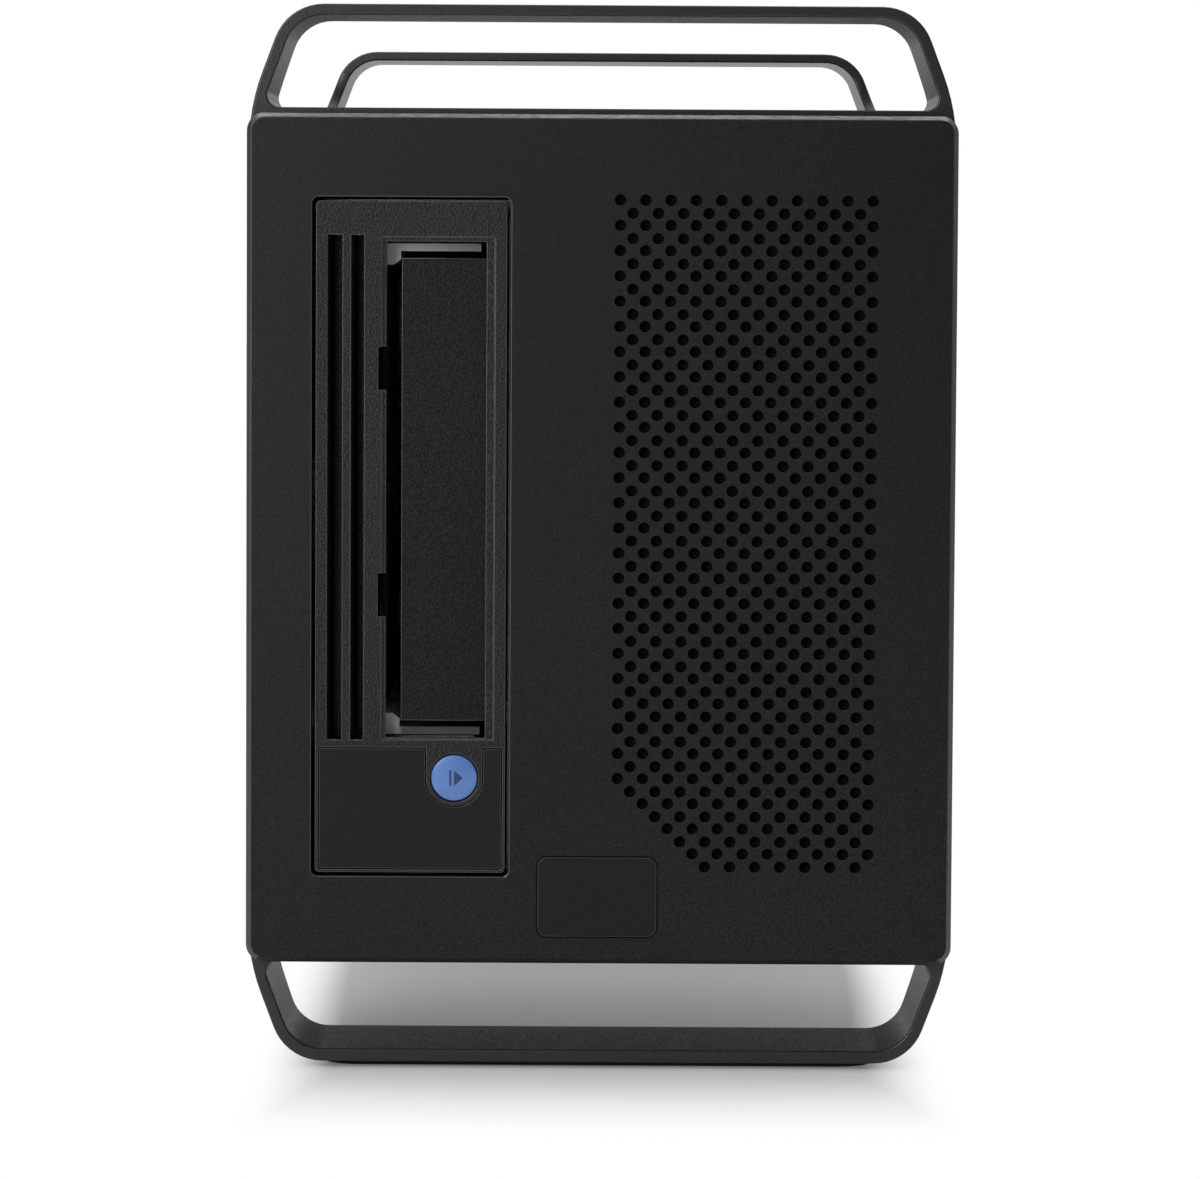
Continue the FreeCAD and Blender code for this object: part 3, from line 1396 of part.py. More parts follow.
def make_fan_frame():
    """Square fan housing with the bearing held by four struts on its outlet side."""
    body = plate_y(fan_x - fan_size / 2, fan_x + fan_size / 2, fan_z - fan_size / 2, fan_z + fan_size / 2, 3.0,
                   fan_front, rear_face)
    duct = rod_y(duct_radius, fan_front - beyond, rear_face + beyond, fan_x, fan_z)
    waist = []
    depth = fan_size / 2 - duct_radius * math.cos(math.radians(45)) - 6.5
    for i in (-1, 1):
        for j in (-1, 1):
            waist.append(box(0, depth, fan_front + 4, rear_face - 4, 0, depth))
            corner = V(fan_x + i * fan_size / 2 - (depth if i > 0 else 0), 0,
                       fan_z + j * fan_size / 2 - (depth if j > 0 else 0))
            waist[-1].translate(corner)
    body = body.cut([duct] + waist)
    base = rod_y(fan_hub_radius - 1, rear_face - fan_base, rear_face, fan_x, fan_z)
    stub = rod_y(fan_stub_radius + 1.8, rear_face - fan_base - 9.0, rear_face, fan_x, fan_z)
    struts = []
    for i in range(4):
        strut = box(0, duct_radius + 0.5, rear_face - fan_base, rear_face - 0.4, -1.4, 1.4)
        strut.rotate(V(0, 0, 0), V(0, 1, 0), 20 + 90 * i)
        strut.translate(V(fan_x, 0, fan_z))
        struts.append(strut)
    body = joined([body, base, stub] + struts)
    holes = [rod_y(m3_radius + thread_play, fan_front - beyond, rear_face + beyond, x, z)
             for x, z in fan_screw_places()]
    bore = rod_y(fan_stub_radius + bearing_play, rear_face - fan_base - 10.0, rear_face - 0.8, fan_x, fan_z)
    return body.cut(holes + [bore])


def make_fan_rotor():
    """Hub cup with its shaft and pitched blades."""
    y0 = fan_front + 1.5
    y1 = rear_face - fan_base - 1.0
    cup = rod_y(fan_hub_radius, y0, y1, fan_x, fan_z)
    hollow = rod_y(fan_hub_radius - 2.0, y0 + 2.0, y1 + beyond, fan_x, fan_z)
    shaft = rod_y(fan_stub_radius, y0, rear_face - 1.0, fan_x, fan_z)
    cup = cup.cut(hollow)
    blades = []
    middle = (y0 + y1) / 2
    reach = duct_radius - fan_tip_gap
    rim = rod_y(reach, y0, y1, fan_x, fan_z)
    for i in range(fan_blades):
        blade = box(fan_hub_radius - 1.0, reach + 1, -8.0, 8.0, -0.7, 0.7)
        blade.rotate(V(0, 0, 0), V(1, 0, 0), 38)
        blade.translate(V(0, middle, 0))
        blade.rotate(V(0, 0, 0), V(0, 1, 0), 360.0 * i / fan_blades)
        blade.translate(V(fan_x, 0, fan_z))
        blades.append(blade.common(rim))
    return joined([cup, shaft] + blades)


def make_power_inlet():
    """Socket for a mains lead: flange outside, body inside, three blades in the mouth."""
    face = plate_y(inlet_x - inlet_width / 2 - 1.8, inlet_x + inlet_width / 2 + 1.8, inlet_z - inlet_height / 2 - 1.8,
                   inlet_z + inlet_height / 2 + 1.8, 2.5, rear_wall_back, rear_wall_back + 1.8)
    body = plate_y(inlet_x - inlet_width / 2 + 0.2, inlet_x + inlet_width / 2 - 0.2, inlet_z - inlet_height / 2 + 0.2,
                   inlet_z + inlet_height / 2 - 0.2, 1.8, rear_wall_back - inlet_depth, rear_wall_back + 1.0)
    mouth = prism_y([(inlet_x - 11.9, inlet_z - 8.0, 0), (inlet_x + 11.9, inlet_z - 8.0, 0),
                     (inlet_x + 11.9, inlet_z + 3.5, 0), (inlet_x + 7.4, inlet_z + 8.0, 0),
                     (inlet_x - 7.4, inlet_z + 8.0, 0), (inlet_x - 11.9, inlet_z + 3.5, 0)],
                    rear_wall_back - inlet_depth + 5.0, rear_wall_back + 3.0)
    body = joined([face, body]).cut(mouth)
    blades = []
    for offset, height in ((-7.0, -2.0), (0.0, 2.0), (7.0, -2.0)):
        blades.append(box(inlet_x + offset - 1.0, inlet_x + offset + 1.0, rear_wall_back - inlet_depth + 4.5,
                          rear_wall_back - 1.0, inlet_z + height - 2.0, inlet_z + height + 2.0))
    return joined([body] + blades)


rocker_axis_y = rear_wall_back - 3.2
rocker_half_x = switch_width / 2 - 2.2
rocker_half_z = switch_height / 2 - 1.6


def make_switch_housing():
    face = plate_y(inlet_x - switch_width / 2 - 1.2, inlet_x + switch_width / 2 + 1.2, switch_z - switch_height / 2 - 1.2,
                   switch_z + switch_height / 2 + 1.2, 1.0, rear_wall_back, rear_wall_back + 1.2)
    body = box(inlet_x - switch_width / 2 + 0.2, inlet_x + switch_width / 2 - 0.2, rear_wall_back - switch_depth,
               rear_wall_back + 0.5, switch_z - switch_height / 2 + 0.2, switch_z + switch_height / 2 - 0.2)
    well = box(inlet_x - rocker_half_x - 0.4, inlet_x + rocker_half_x + 0.4, rear_wall_back - switch_depth + 3.0,
               rear_wall_back + 3.0, switch_z - rocker_half_z - 0.5, switch_z + rocker_half_z + 0.5)
    pins = rod_x(1.05, inlet_x - rocker_half_x - 1.2, inlet_x + rocker_half_x + 1.2, rocker_axis_y, switch_z)
    return joined([face, body]).cut([well, pins])


def make_power_rocker():
    """Rocker with a shallow V face, resting tilted to one side on its trunnions."""
    lift = rocker_half_z * math.tan(math.radians(rocker_tilt))
    face_y = rear_wall_back + 0.9
    corners = [(face_y - lift + 0.9, switch_z - rocker_half_z, 0.3), (face_y - lift, switch_z, 0),
               (face_y - lift + 0.9, switch_z + rocker_half_z, 0.3), (rocker_axis_y - 2.0, switch_z + 2.2, 0.5),
               (rocker_axis_y - 2.6, switch_z, 0), (rocker_axis_y - 2.0, switch_z - 2.2, 0.5)]
    body = prism_x(corners, inlet_x - rocker_half_x, inlet_x + rocker_half_x)
    pins = rod_x(1.0, inlet_x - rocker_half_x - 1.0, inlet_x + rocker_half_x + 1.0, rocker_axis_y, switch_z)
    body = joined([body, pins])
    body.rotate(V(inlet_x, rocker_axis_y, switch_z), V(1, 0, 0), -rocker_tilt)
    return body


# Power supply on the tray
supply_x1 = supply_x + supply_width
supply_y1 = supply_y + supply_depth
supply_screw_places = [(x, y) for x in (supply_x + 8.0, supply_x1 - 8.0)
                       for y in (supply_y - supply_tab / 2, supply_y1 + supply_tab / 2)]


def make_supply_case():
    outer = box(supply_x, supply_x1, supply_y, supply_y1, tray_top, tray_top + supply_height)
    inner = box(supply_x + supply_sheet, supply_x1 - supply_sheet, supply_y + supply_sheet, supply_y1 - supply_sheet,
                tray_top + supply_sheet, tray_top + supply_height - supply_sheet)
    tabs = box(supply_x, supply_x1, supply_y - supply_tab, supply_y1 + supply_tab, tray_top, tray_top + cage_sheet)
    slots = []
    for i in range(9):
        z = tray_top + 20 + 7.0 * i
        slots.append(box(supply_x + 6, supply_x1 - 6, supply_y - beyond, supply_y + 2, z, z + 3))
        slots.append(box(supply_x + 6, supply_x1 - 6, supply_y1 - 2, supply_y1 + beyond, z, z + 3))
    body = joined([outer, tabs]).cut([inner] + slots)
    holes = [rod_z(m3_radius + screw_play, tray_top - beyond, tray_top + cage_sheet + beyond, x, y)
             for x, y in supply_screw_places]
    return body.cut(holes)


def make_supply_board():
    """Supply board with its transformer, capacitors and heat sinks."""
    x0 = supply_x + supply_sheet + 3.0
    x1 = x0 + board_thickness
    low = tray_top + 5.0
    high = tray_top + supply_height - 5.0
    board = box(x0, x1, supply_y + 4, supply_y1 - 4, low, high)
    parts = [box(x1, x1 + 24, supply_y + 66, supply_y + 98, low + 20, low + 52),
             box(x1, x1 + 28, supply_y + 52, supply_y + 55, low + 10, high - 10),
             box(x1, x1 + 28, supply_y + 112, supply_y + 115, low + 10, high - 10),
             box(x1, x1 + 16, supply_y + 10, supply_y + 26, low + 50, low + 70)]
    parts += [rod_x(10.0, x1, x1 + 27, supply_y + 30, low + z) for z in (16, 40)]
    parts += [rod_x(5.0, x1, x1 + 18, supply_y + 132, low + z) for z in (14, 28, 42, 56)]
    standoffs = [rod_x(2.5, supply_x + supply_sheet, x0, y, z) for y in (supply_y + 10, supply_y1 - 10)
                 for z in (low + 6, high - 6)]
    return joined([board] + parts + standoffs)


def make_bracket_screws():
    """Short screws that hold the drive cage and the power supply down on the tray."""
    grip = cage_sheet + tray_sheet
    return Part.makeCompound([pan_screw(V(x, y, ring_bottom), V(0, 0, 1), m3_radius, grip, m3_head_radius,
                                        m3_head_height) for x, y in cage_screw_places + supply_screw_places])


def main():
    os.makedirs("parts", exist_ok=True)
    frame = make_frame(m3_radius + screw_play)
    rear_frame = mirrored_y(make_frame(m3_radius + thread_play))
    tray_holes = [rod_z(m3_radius + thread_play, ring_bottom - beyond, tray_top + beyond, x, y)
                  for x, y in cage_screw_places + supply_screw_places]
    foot = make_foot_strip()
    nodes = {
        "front_panel": make_front_panel(),
        "badge_plate": make_badge_plate(),
        "dust_filter": make_dust_filter(),
        "front_frame": frame,
        "rear_frame": rear_frame,
        "foot_strips": Part.makeCompound([foot, mirrored_y(foot)]),
        "body_sleeve": make_sleeve(),
        "base_tray": make_base_tray().cut(tray_holes),
        "tray_screws": make_tray_screws(),
        "panel_screws": make_panel_screws(),
        "tie_rods": make_tie_rods(),
        "tie_screws": make_tie_screws(),
        "rear_panel": make_rear_panel(),
        "rear_panel_screws": make_rear_screws(),
        "drive_bezel": make_drive_bezel(),
        "display_window": make_display_window(),
        "display_board": make_display_board(),
        "eject_button": make_eject_button(),
        "door_flap": make_door_flap(),
        "door_pin": make_door_pin(),
        "drive_chassis": make_drive_chassis(),
        "drive_top_cover": make_drive_top_cover(),
        "drive_bottom_cover": make_drive_bottom_cover(),
        "controller_board": make_controller_board(),
        "drive_connector": make_drive_connector(),
        "loader_slider": make_loader_slider(),
        "cartridge_cradle": make_cartridge_cradle(),
        "loader_gear": make_loader_gear(),
        "motor_pinion": make_motor_pinion(),
        "loader_motor": make_loader_motor(),
        "supply_motor": make_supply_motor(),
        "supply_hub": make_supply_hub(),
        "takeup_motor": make_takeup_motor(),
        "takeup_reel": make_takeup_reel(),
        "head_block": make_head_block(),
        "head_posts": make_head_posts(),
        "head_magnet": make_head_magnet(),
        "threader_arm": make_threader_arm(),
        "drive_cage": make_drive_cage(),
        "drive_screws": make_drive_screws(),
        "bracket_screws": make_bracket_screws(),
        "bridge_board": make_bridge_board(),
        "data_cable": make_data_cable(),
        "board_standoffs": make_board_standoffs(),
        "board_screws": make_board_screws(),
        "port_connectors": make_port_connectors(),
        "fan_frame": make_fan_frame(),
        "fan_rotor": make_fan_rotor(),
        "fan_screws": make_fan_screws(),
        "power_inlet": make_power_inlet(),
        "switch_housing": make_switch_housing(),
        "power_rocker": make_power_rocker(),
        "power_supply_case": make_supply_case(),
        "power_supply_board": make_supply_board(),
    }
    for index in range(len(roller_places)):
        nodes["guide_roller_" + str(index + 1)] = make_guide_roller(index)
    for node, shape in nodes.items():
        write(node, shape)
        print(node, len(shape.Solids), shape.isValid(), round(shape.Volume))


main()
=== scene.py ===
"""Looks of a desktop data tape drive.

Finishes, rounded forms, small marks, studio floor, lights and camera. Lengths are in metres unless a name
ends in mm. The front faces -Y.
"""

import json
import math

import bmesh
import bpy
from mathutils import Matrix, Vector
from mathutils.geometry import delaunay_2d_cdt

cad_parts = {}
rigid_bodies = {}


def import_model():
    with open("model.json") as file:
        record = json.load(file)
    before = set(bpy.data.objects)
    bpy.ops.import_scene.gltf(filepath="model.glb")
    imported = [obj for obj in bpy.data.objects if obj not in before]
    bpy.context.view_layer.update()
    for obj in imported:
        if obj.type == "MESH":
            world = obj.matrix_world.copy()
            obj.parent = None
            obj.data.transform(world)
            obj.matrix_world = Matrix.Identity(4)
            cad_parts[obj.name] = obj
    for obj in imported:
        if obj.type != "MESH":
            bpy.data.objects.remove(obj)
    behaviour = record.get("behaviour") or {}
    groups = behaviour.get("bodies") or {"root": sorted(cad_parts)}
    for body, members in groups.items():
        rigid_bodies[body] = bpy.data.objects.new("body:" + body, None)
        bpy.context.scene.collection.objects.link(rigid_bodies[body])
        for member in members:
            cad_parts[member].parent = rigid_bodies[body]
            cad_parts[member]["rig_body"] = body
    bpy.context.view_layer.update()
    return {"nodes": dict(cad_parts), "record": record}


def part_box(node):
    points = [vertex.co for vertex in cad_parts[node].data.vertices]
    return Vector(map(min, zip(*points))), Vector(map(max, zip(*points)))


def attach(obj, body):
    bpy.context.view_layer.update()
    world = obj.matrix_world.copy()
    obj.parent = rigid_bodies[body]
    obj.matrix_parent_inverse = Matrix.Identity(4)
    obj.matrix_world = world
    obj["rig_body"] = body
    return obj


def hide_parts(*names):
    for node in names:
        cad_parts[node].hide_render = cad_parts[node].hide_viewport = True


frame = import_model()
nodes = frame["nodes"]
record_slots = {subpart["node"]: subpart["material_slot"] for subpart in frame["record"]["subparts"]}
scene = bpy.context.scene
scene.view_settings.view_transform = "Standard"

MM = 0.001
WHITE = (1.0, 1.0, 1.0, 1.0)


# Shader building

DRIFT_DETAIL = 3.0
GRAIN_DETAIL = 2.0
ROUGHNESS_SWING = 0.07
LEAST_ROUGHNESS = 0.03
EVEN = (1.0, 1.0, 1.0)


def node_of(tree, kind):
    return next(node for node in tree.nodes if node.type == kind)


def new_material(name):
    """A node material, with its tree and its shader."""
    material = bpy.data.materials.new(name)
    material.use_nodes = True
    tree = material.node_tree
    return material, tree, node_of(tree, "BSDF_PRINCIPLED")


def add(tree, kind, **values):
    """A node of that kind, with values for its properties and for its inputs by name."""
    node = tree.nodes.new("ShaderNode" + kind)
    for key, value in values.items():
        if hasattr(node, key):
            setattr(node, key, value)
        else:
            node.inputs[key.replace("_", " ")].default_value = value
    return node


def own_axes(tree, output="Object"):
    """The X, Y and Z of a texture coordinate."""
    place = add(tree, "TexCoord")
    axes = add(tree, "SeparateXYZ")
    tree.links.new(place.outputs[output], axes.inputs["Vector"])
    return axes.outputs


def noise(tree, size_mm, detail, stretch=EVEN):
    """Noise whose features are about size_mm across, in the object's own coordinates."""
    place = add(tree, "TexCoord")
    scaled = add(tree, "Mapping", vector_type="POINT", Scale=stretch)
    tree.links.new(place.outputs["Object"], scaled.inputs["Vector"])
    field = add(tree, "TexNoise", Scale=1.0 / (size_mm * MM), Detail=detail)
    tree.links.new(scaled.outputs["Vector"], field.inputs["Vector"])
    return field.outputs["Fac"]


def ramp(tree, fac, low, high, low_at=0.35, high_at=0.65):
    """Two colours or greys laid along a field."""
    node = add(tree, "ValToRGB")
    ends = node.color_ramp.elements
    for end, value, at in ((ends[0], low, low_at), (ends[1], high, high_at)):
        end.position = at
        end.color = (*value, 1.0) if isinstance(value, tuple) else (value, value, value, 1.0)
    tree.links.new(fac, node.inputs["Fac"])
    return node.outputs["Color"]


def faded(tree, field, start, end, low=0.0, high=1.0):
    """A smooth step from low, where the field is at start, to high, where it is at end."""
    node = add(tree, "MapRange", interpolation_type="SMOOTHSTEP",
               From_Min=start, From_Max=end, To_Min=low, To_Max=high)
    tree.links.new(field, node.inputs["Value"])
    return node.outputs["Result"]


def between(tree, share, low, high):
    """A value from low to high, all three of them fields."""
    node = add(tree, "MapRange")
    for name, field in (("Value", share), ("To Min", low), ("To Max", high)):
        tree.links.new(field, node.inputs[name])
    return node.outputs["Result"]


def times(tree, first, second):
    """Two colours multiplied."""
    node = add(tree, "MixRGB", blend_type="MULTIPLY", Fac=1.0)
    tree.links.new(first, node.inputs["Color1"])
    tree.links.new(second, node.inputs["Color2"])
    return node.outputs["Color"]


def combined(tree, operation, first, second):
    """Two fields in one sum, product or the like."""
    node = add(tree, "Math", operation=operation)
    tree.links.new(first, node.inputs[0])
    tree.links.new(second, node.inputs[1])
    return node.outputs["Value"]


def absolute(tree, field):
    node = add(tree, "Math", operation="ABSOLUTE")
    tree.links.new(field, node.inputs[0])
    return node.outputs["Value"]


def bump(tree, shader, field, depth_mm):
    node = add(tree, "Bump", Strength=1.0, Distance=depth_mm * MM)
    tree.links.new(field, node.inputs["Height"])
    tree.links.new(node.outputs["Normal"], shader.inputs["Normal"])


def finish(name, color, roughness, metallic=0.0, specular=0.5, grain_mm=0.3, depth_mm=0.01, speck=0.15,
           blotch_mm=20.0, spread=0.12, stretch=EVEN, coat=0.0, band=0.15):
    """Finish whose colour drifts over blotch_mm, with a grain that moves its colour, gloss and surface.

    A narrow band gives the grain hard spots.
    """
    material, tree, shader = new_material(name)
    drift = noise(tree, blotch_mm, DRIFT_DETAIL)
    dark = tuple(c * (1 - spread) for c in color)
    light = tuple(min(1.0, c * (1 + spread)) for c in color)
    grain = noise(tree, grain_mm, GRAIN_DETAIL, stretch)
    shades = times(tree, ramp(tree, drift, dark, light),
                   ramp(tree, grain, 1 - speck, 1.0, 0.5 - band, 0.5 + band))
    tree.links.new(shades, shader.inputs["Base Color"])
    dull = min(1.0, roughness + ROUGHNESS_SWING)
    glossy = max(LEAST_ROUGHNESS, roughness - ROUGHNESS_SWING)
    tree.links.new(ramp(tree, grain, dull, glossy), shader.inputs["Roughness"])
    shader.inputs["Metallic"].default_value = metallic
    shader.inputs["Specular IOR Level"].default_value = specular
    shader.inputs["Coat Weight"].default_value = coat
    bump(tree, shader, grain, depth_mm)
    return material


# Finishes, by the record's material slots, and three for edges and ink

FINISHES = {
    "panel_black": finish(
        "anodised_black", color=(0.0105, 0.0105, 0.011), roughness=0.38, specular=0.2, grain_mm=0.4,
        depth_mm=0.030, speck=0.8, blotch_mm=60.0, spread=0.1, band=0.1),
    "frame_black": finish(
        "satin_black", color=(0.0115, 0.0115, 0.012), roughness=0.3, specular=0.48, depth_mm=0.014,
        speck=0.5, blotch_mm=60.0, spread=0.1),
    "bezel_plastic": finish(
        "grained_plastic", color=(0.0095, 0.0095, 0.01), roughness=0.46, specular=0.26, grain_mm=0.5,
        depth_mm=0.26, speck=0.95, blotch_mm=40.0, spread=0.08, band=0.06),
    "door_plastic": finish(
        "fine_plastic", color=(0.0088, 0.0088, 0.0092), roughness=0.46, specular=0.15, grain_mm=0.45,
        depth_mm=0.14, speck=0.88, blotch_mm=40.0, spread=0.08, band=0.08),
    "window_plastic": finish(
        "smoked_plastic", color=(0.006, 0.006, 0.0065), roughness=0.3, specular=0.2, depth_mm=0.004,
        speck=0.25, blotch_mm=40.0, spread=0.05),
    "badge_metal": finish(
        "badge_black", color=(0.0085, 0.0085, 0.009), roughness=0.4, specular=0.18, grain_mm=0.32,
        depth_mm=0.02, speck=0.5, blotch_mm=40.0, spread=0.1),
    # The foam behind the grille is near black: a dark sheet that stands in for the shade seen through the
    # holes.
    "filter_foam": finish(
        "filter_foam", color=(0.004, 0.004, 0.004), roughness=0.95, specular=0.1, grain_mm=0.5,
        depth_mm=0.25, speck=0.6, spread=0.1),
    "button_blue": finish(
        "button_blue", color=(0.068, 0.162, 0.415), roughness=0.33, grain_mm=0.35, speck=0.12,
        blotch_mm=5.0, spread=0.08, coat=0.2),
    "cradle_grey": finish(
        "grey_plastic", color=(0.42, 0.42, 0.41), roughness=0.5, specular=0.4, grain_mm=0.25, speck=0.08,
        spread=0.06),
    "foot_rubber": finish(
        "foot_rubber", color=(0.028, 0.028, 0.028), roughness=0.8, specular=0.3, grain_mm=0.4,
        depth_mm=0.03, speck=0.2, spread=0.15),
    "plated_sheet": finish(
        "zinc_plate", color=(0.5, 0.51, 0.52), roughness=0.4, metallic=1.0, grain_mm=0.6, depth_mm=0.004,
        speck=0.06, blotch_mm=8.0, spread=0.15),
    "screw_black": finish(
        "black_steel", color=(0.03, 0.03, 0.032), roughness=0.4, metallic=0.6, grain_mm=0.2,
        depth_mm=0.004, speck=0.2, blotch_mm=5.0, spread=0.2),
    "bright_steel": finish(
        "turned_steel", color=(0.56, 0.56, 0.57), roughness=0.3, metallic=1.0, grain_mm=0.2,
        depth_mm=0.004, speck=0.06, blotch_mm=5.0, spread=0.1),
    "brass_fitting": finish(
        "brass_fitting", color=(0.7, 0.52, 0.22), roughness=0.3, metallic=1.0, grain_mm=0.2,
        depth_mm=0.003, speck=0.06, blotch_mm=5.0, spread=0.1),
    "board_green": finish(
        "circuit_board", color=(0.02, 0.12, 0.05), roughness=0.35, grain_mm=0.8, depth_mm=0.02, speck=0.35,
        blotch_mm=6.0, spread=0.25),
    "cast_alloy": finish(
        "cast_alloy", color=(0.5, 0.5, 0.51), roughness=0.55, metallic=1.0, grain_mm=0.7, depth_mm=0.03,
        speck=0.12, blotch_mm=12.0),
    "connector_black": finish(
        "connector_black", color=(0.02, 0.02, 0.02), roughness=0.5, speck=0.2, blotch_mm=5.0, spread=0.1),
    "cable_grey": finish(
        "cable_grey", color=(0.35, 0.36, 0.38), roughness=0.5, grain_mm=1.27, depth_mm=0.05, speck=0.2,
        blotch_mm=5.0, spread=0.1, stretch=(0.02, 0.02, 1.0)),
    "slider_steel": finish(
        "pressed_steel", color=(0.5, 0.51, 0.53), roughness=0.35, metallic=1.0, grain_mm=0.5,
        depth_mm=0.004, speck=0.08, blotch_mm=8.0, spread=0.1),
    "gear_white": finish(
        "acetal_white", color=(0.75, 0.74, 0.7), roughness=0.45, depth_mm=0.004, speck=0.05, blotch_mm=6.0,
        spread=0.05),
    "motor_steel": finish(
        "drawn_can", color=(0.45, 0.45, 0.46), roughness=0.3, metallic=1.0, grain_mm=0.4, depth_mm=0.004,
        speck=0.08, blotch_mm=8.0, spread=0.1),
    "hub_black": finish(
        "hub_black", color=(0.04, 0.04, 0.04), roughness=0.45, blotch_mm=8.0, spread=0.1),
    "reel_grey": finish(
        "reel_grey", color=(0.08, 0.08, 0.085), roughness=0.3, grain_mm=0.4, depth_mm=0.003, speck=0.08,
        blotch_mm=12.0, spread=0.1),
    "roller_metal": finish(
        "turned_alloy", color=(0.6, 0.6, 0.61), roughness=0.25, metallic=1.0, grain_mm=0.2, depth_mm=0.003,
        speck=0.06, blotch_mm=6.0, spread=0.08),
    "head_metal": finish(
        "ground_ferrite", color=(0.2, 0.19, 0.17), roughness=0.25, metallic=0.8, grain_mm=0.2,
        depth_mm=0.003, speck=0.1, blotch_mm=4.0, spread=0.15),
    "magnet_iron": finish(
        "nickel_plate", color=(0.5, 0.49, 0.47), roughness=0.3, metallic=1.0, depth_mm=0.004, speck=0.06,
        blotch_mm=6.0, spread=0.1),
    "port_metal": finish(
        "port_shell", color=(0.6, 0.6, 0.62), roughness=0.25, metallic=1.0, depth_mm=0.002, speck=0.06,
        blotch_mm=4.0, spread=0.08),
    "fan_black": finish(
        "fan_black", color=(0.02, 0.02, 0.021), roughness=0.5, grain_mm=0.4, depth_mm=0.008,
        blotch_mm=12.0, spread=0.1),
    "inlet_black": finish(
        "inlet_black", color=(0.015, 0.015, 0.016), roughness=0.5, speck=0.2, blotch_mm=10.0, spread=0.1),
    "rocker_black": finish(
        "rocker_black", color=(0.02, 0.02, 0.021), roughness=0.3, depth_mm=0.003, speck=0.1, blotch_mm=8.0,
        spread=0.1),
}
CUT_EDGE = finish(
    "machined_edge", color=(0.105, 0.105, 0.11), roughness=0.34, metallic=1.0, grain_mm=0.25,
    depth_mm=0.006, speck=0.2, blotch_mm=30.0, spread=0.08, stretch=(0.1, 1.0, 0.1))
SYMBOL_INK = finish(
    "symbol_ink", color=(0.012, 0.03, 0.11), roughness=0.5, specular=0.4, grain_mm=0.2, depth_mm=0.002,
    blotch_mm=3.0, spread=0.1)
# Painted highlight: a paler, glossier colour on the eased front edges of black parts, standing for the light
# they catch
PAINTED_HIGHLIGHT_EDGE = finish(
    "eased_edge_painted_highlight", color=(0.04, 0.04, 0.041), roughness=0.3, specular=0.6, grain_mm=0.2, depth_mm=0.004,
    speck=0.2, blotch_mm=30.0, spread=0.08)

# Painted shade on the cradle: the heights where its unshaded grey ends begin, and the X ranges over which
# each end darkens
CRADLE_ENDS = (0.0795, 0.1785)
CRADLE_END_FADE = 0.0005
CRADLE_CORNER = (-0.0455, -0.0435)
CRADLE_LOW_SHADE_SHARE = 0.12
CRADLE_TOP_SHADE = (-0.046, -0.028, 1.0, 0.5)
CRADLE_PAINTED_SHADE_LEVEL = 0.03


def paint_cradle_shade():
    """Painted shade on the cradle: light grey at its two ends, almost black between them."""
    tree = FINISHES["cradle_grey"].node_tree
    axes = own_axes(tree)
    low_end, high_end = CRADLE_ENDS
    top = combined(tree, "MULTIPLY", faded(tree, axes["Z"], high_end - CRADLE_END_FADE, high_end),
                   faded(tree, axes["X"], *CRADLE_TOP_SHADE))
    bottom = combined(tree, "MULTIPLY", faded(tree, axes["Z"], low_end, low_end + CRADLE_END_FADE, 1.0, 0.0),
                      faded(tree, axes["X"], *CRADLE_CORNER, 1.0, CRADLE_LOW_SHADE_SHARE))
    share = combined(tree, "MAXIMUM", top, bottom)
    base = node_of(tree, "BSDF_PRINCIPLED").inputs["Base Color"]
    # The painted shade: the grey is multiplied down almost to black where neither end reaches.
    painted_shade = ramp(tree, share, CRADLE_PAINTED_SHADE_LEVEL, 1.0, 0.0, 1.0)
    tree.links.new(times(tree, base.links[0].from_socket, painted_shade), base)


paint_cradle_shade()

for node, slot in record_slots.items():
    for material_slot in nodes[node].material_slots:
        material_slot.material = FINISHES[slot]


# Mesh building

FLAT = math.radians(0.3)
SHARP = math.radians(38)
WELD = 1e-7
BEVEL_SEGMENTS = 2
OWN_FACE, EASED_FACE = 0, 1
BEVEL_AS_BESIDE = -1
LARGE_FACES_LEAD = 100
INSIDE_OUTLINE = 1
SAME_POINT = 1e-9
CORNER_STEPS = 10

FRONT, REAR, ALL = -1, 1, 0
EDGES = {
    "front_frame": {"radius_mm": 0.4},
    "rear_frame": {"radius_mm": 0.4},
    "drive_bezel": {"radius_mm": 0.18, "side": FRONT, "depth_mm": 0.9},
    "display_window": {"radius_mm": 0.12, "side": FRONT},
    "door_flap": {"radius_mm": 0.16, "side": FRONT},
    "badge_plate": {"radius_mm": 0.12, "side": FRONT},
    "foot_strips": {"radius_mm": 0.3},
    "power_inlet": {"radius_mm": 0.25, "side": REAR, "depth_mm": 2.0},
    "switch_housing": {"radius_mm": 0.2, "side": REAR, "depth_mm": 1.4},
}


def link_piece(name, data, node, materials, replaces=True):
    """Puts a mesh in the scene as a piece that rides with a node's body and takes the given materials."""
    piece = bpy.data.objects.new(name, data)
    scene.collection.objects.link(piece)
    for material in materials:
        data.materials.append(material)
    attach(piece, nodes[node]["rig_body"])
    if replaces:
        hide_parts(node)
    return piece


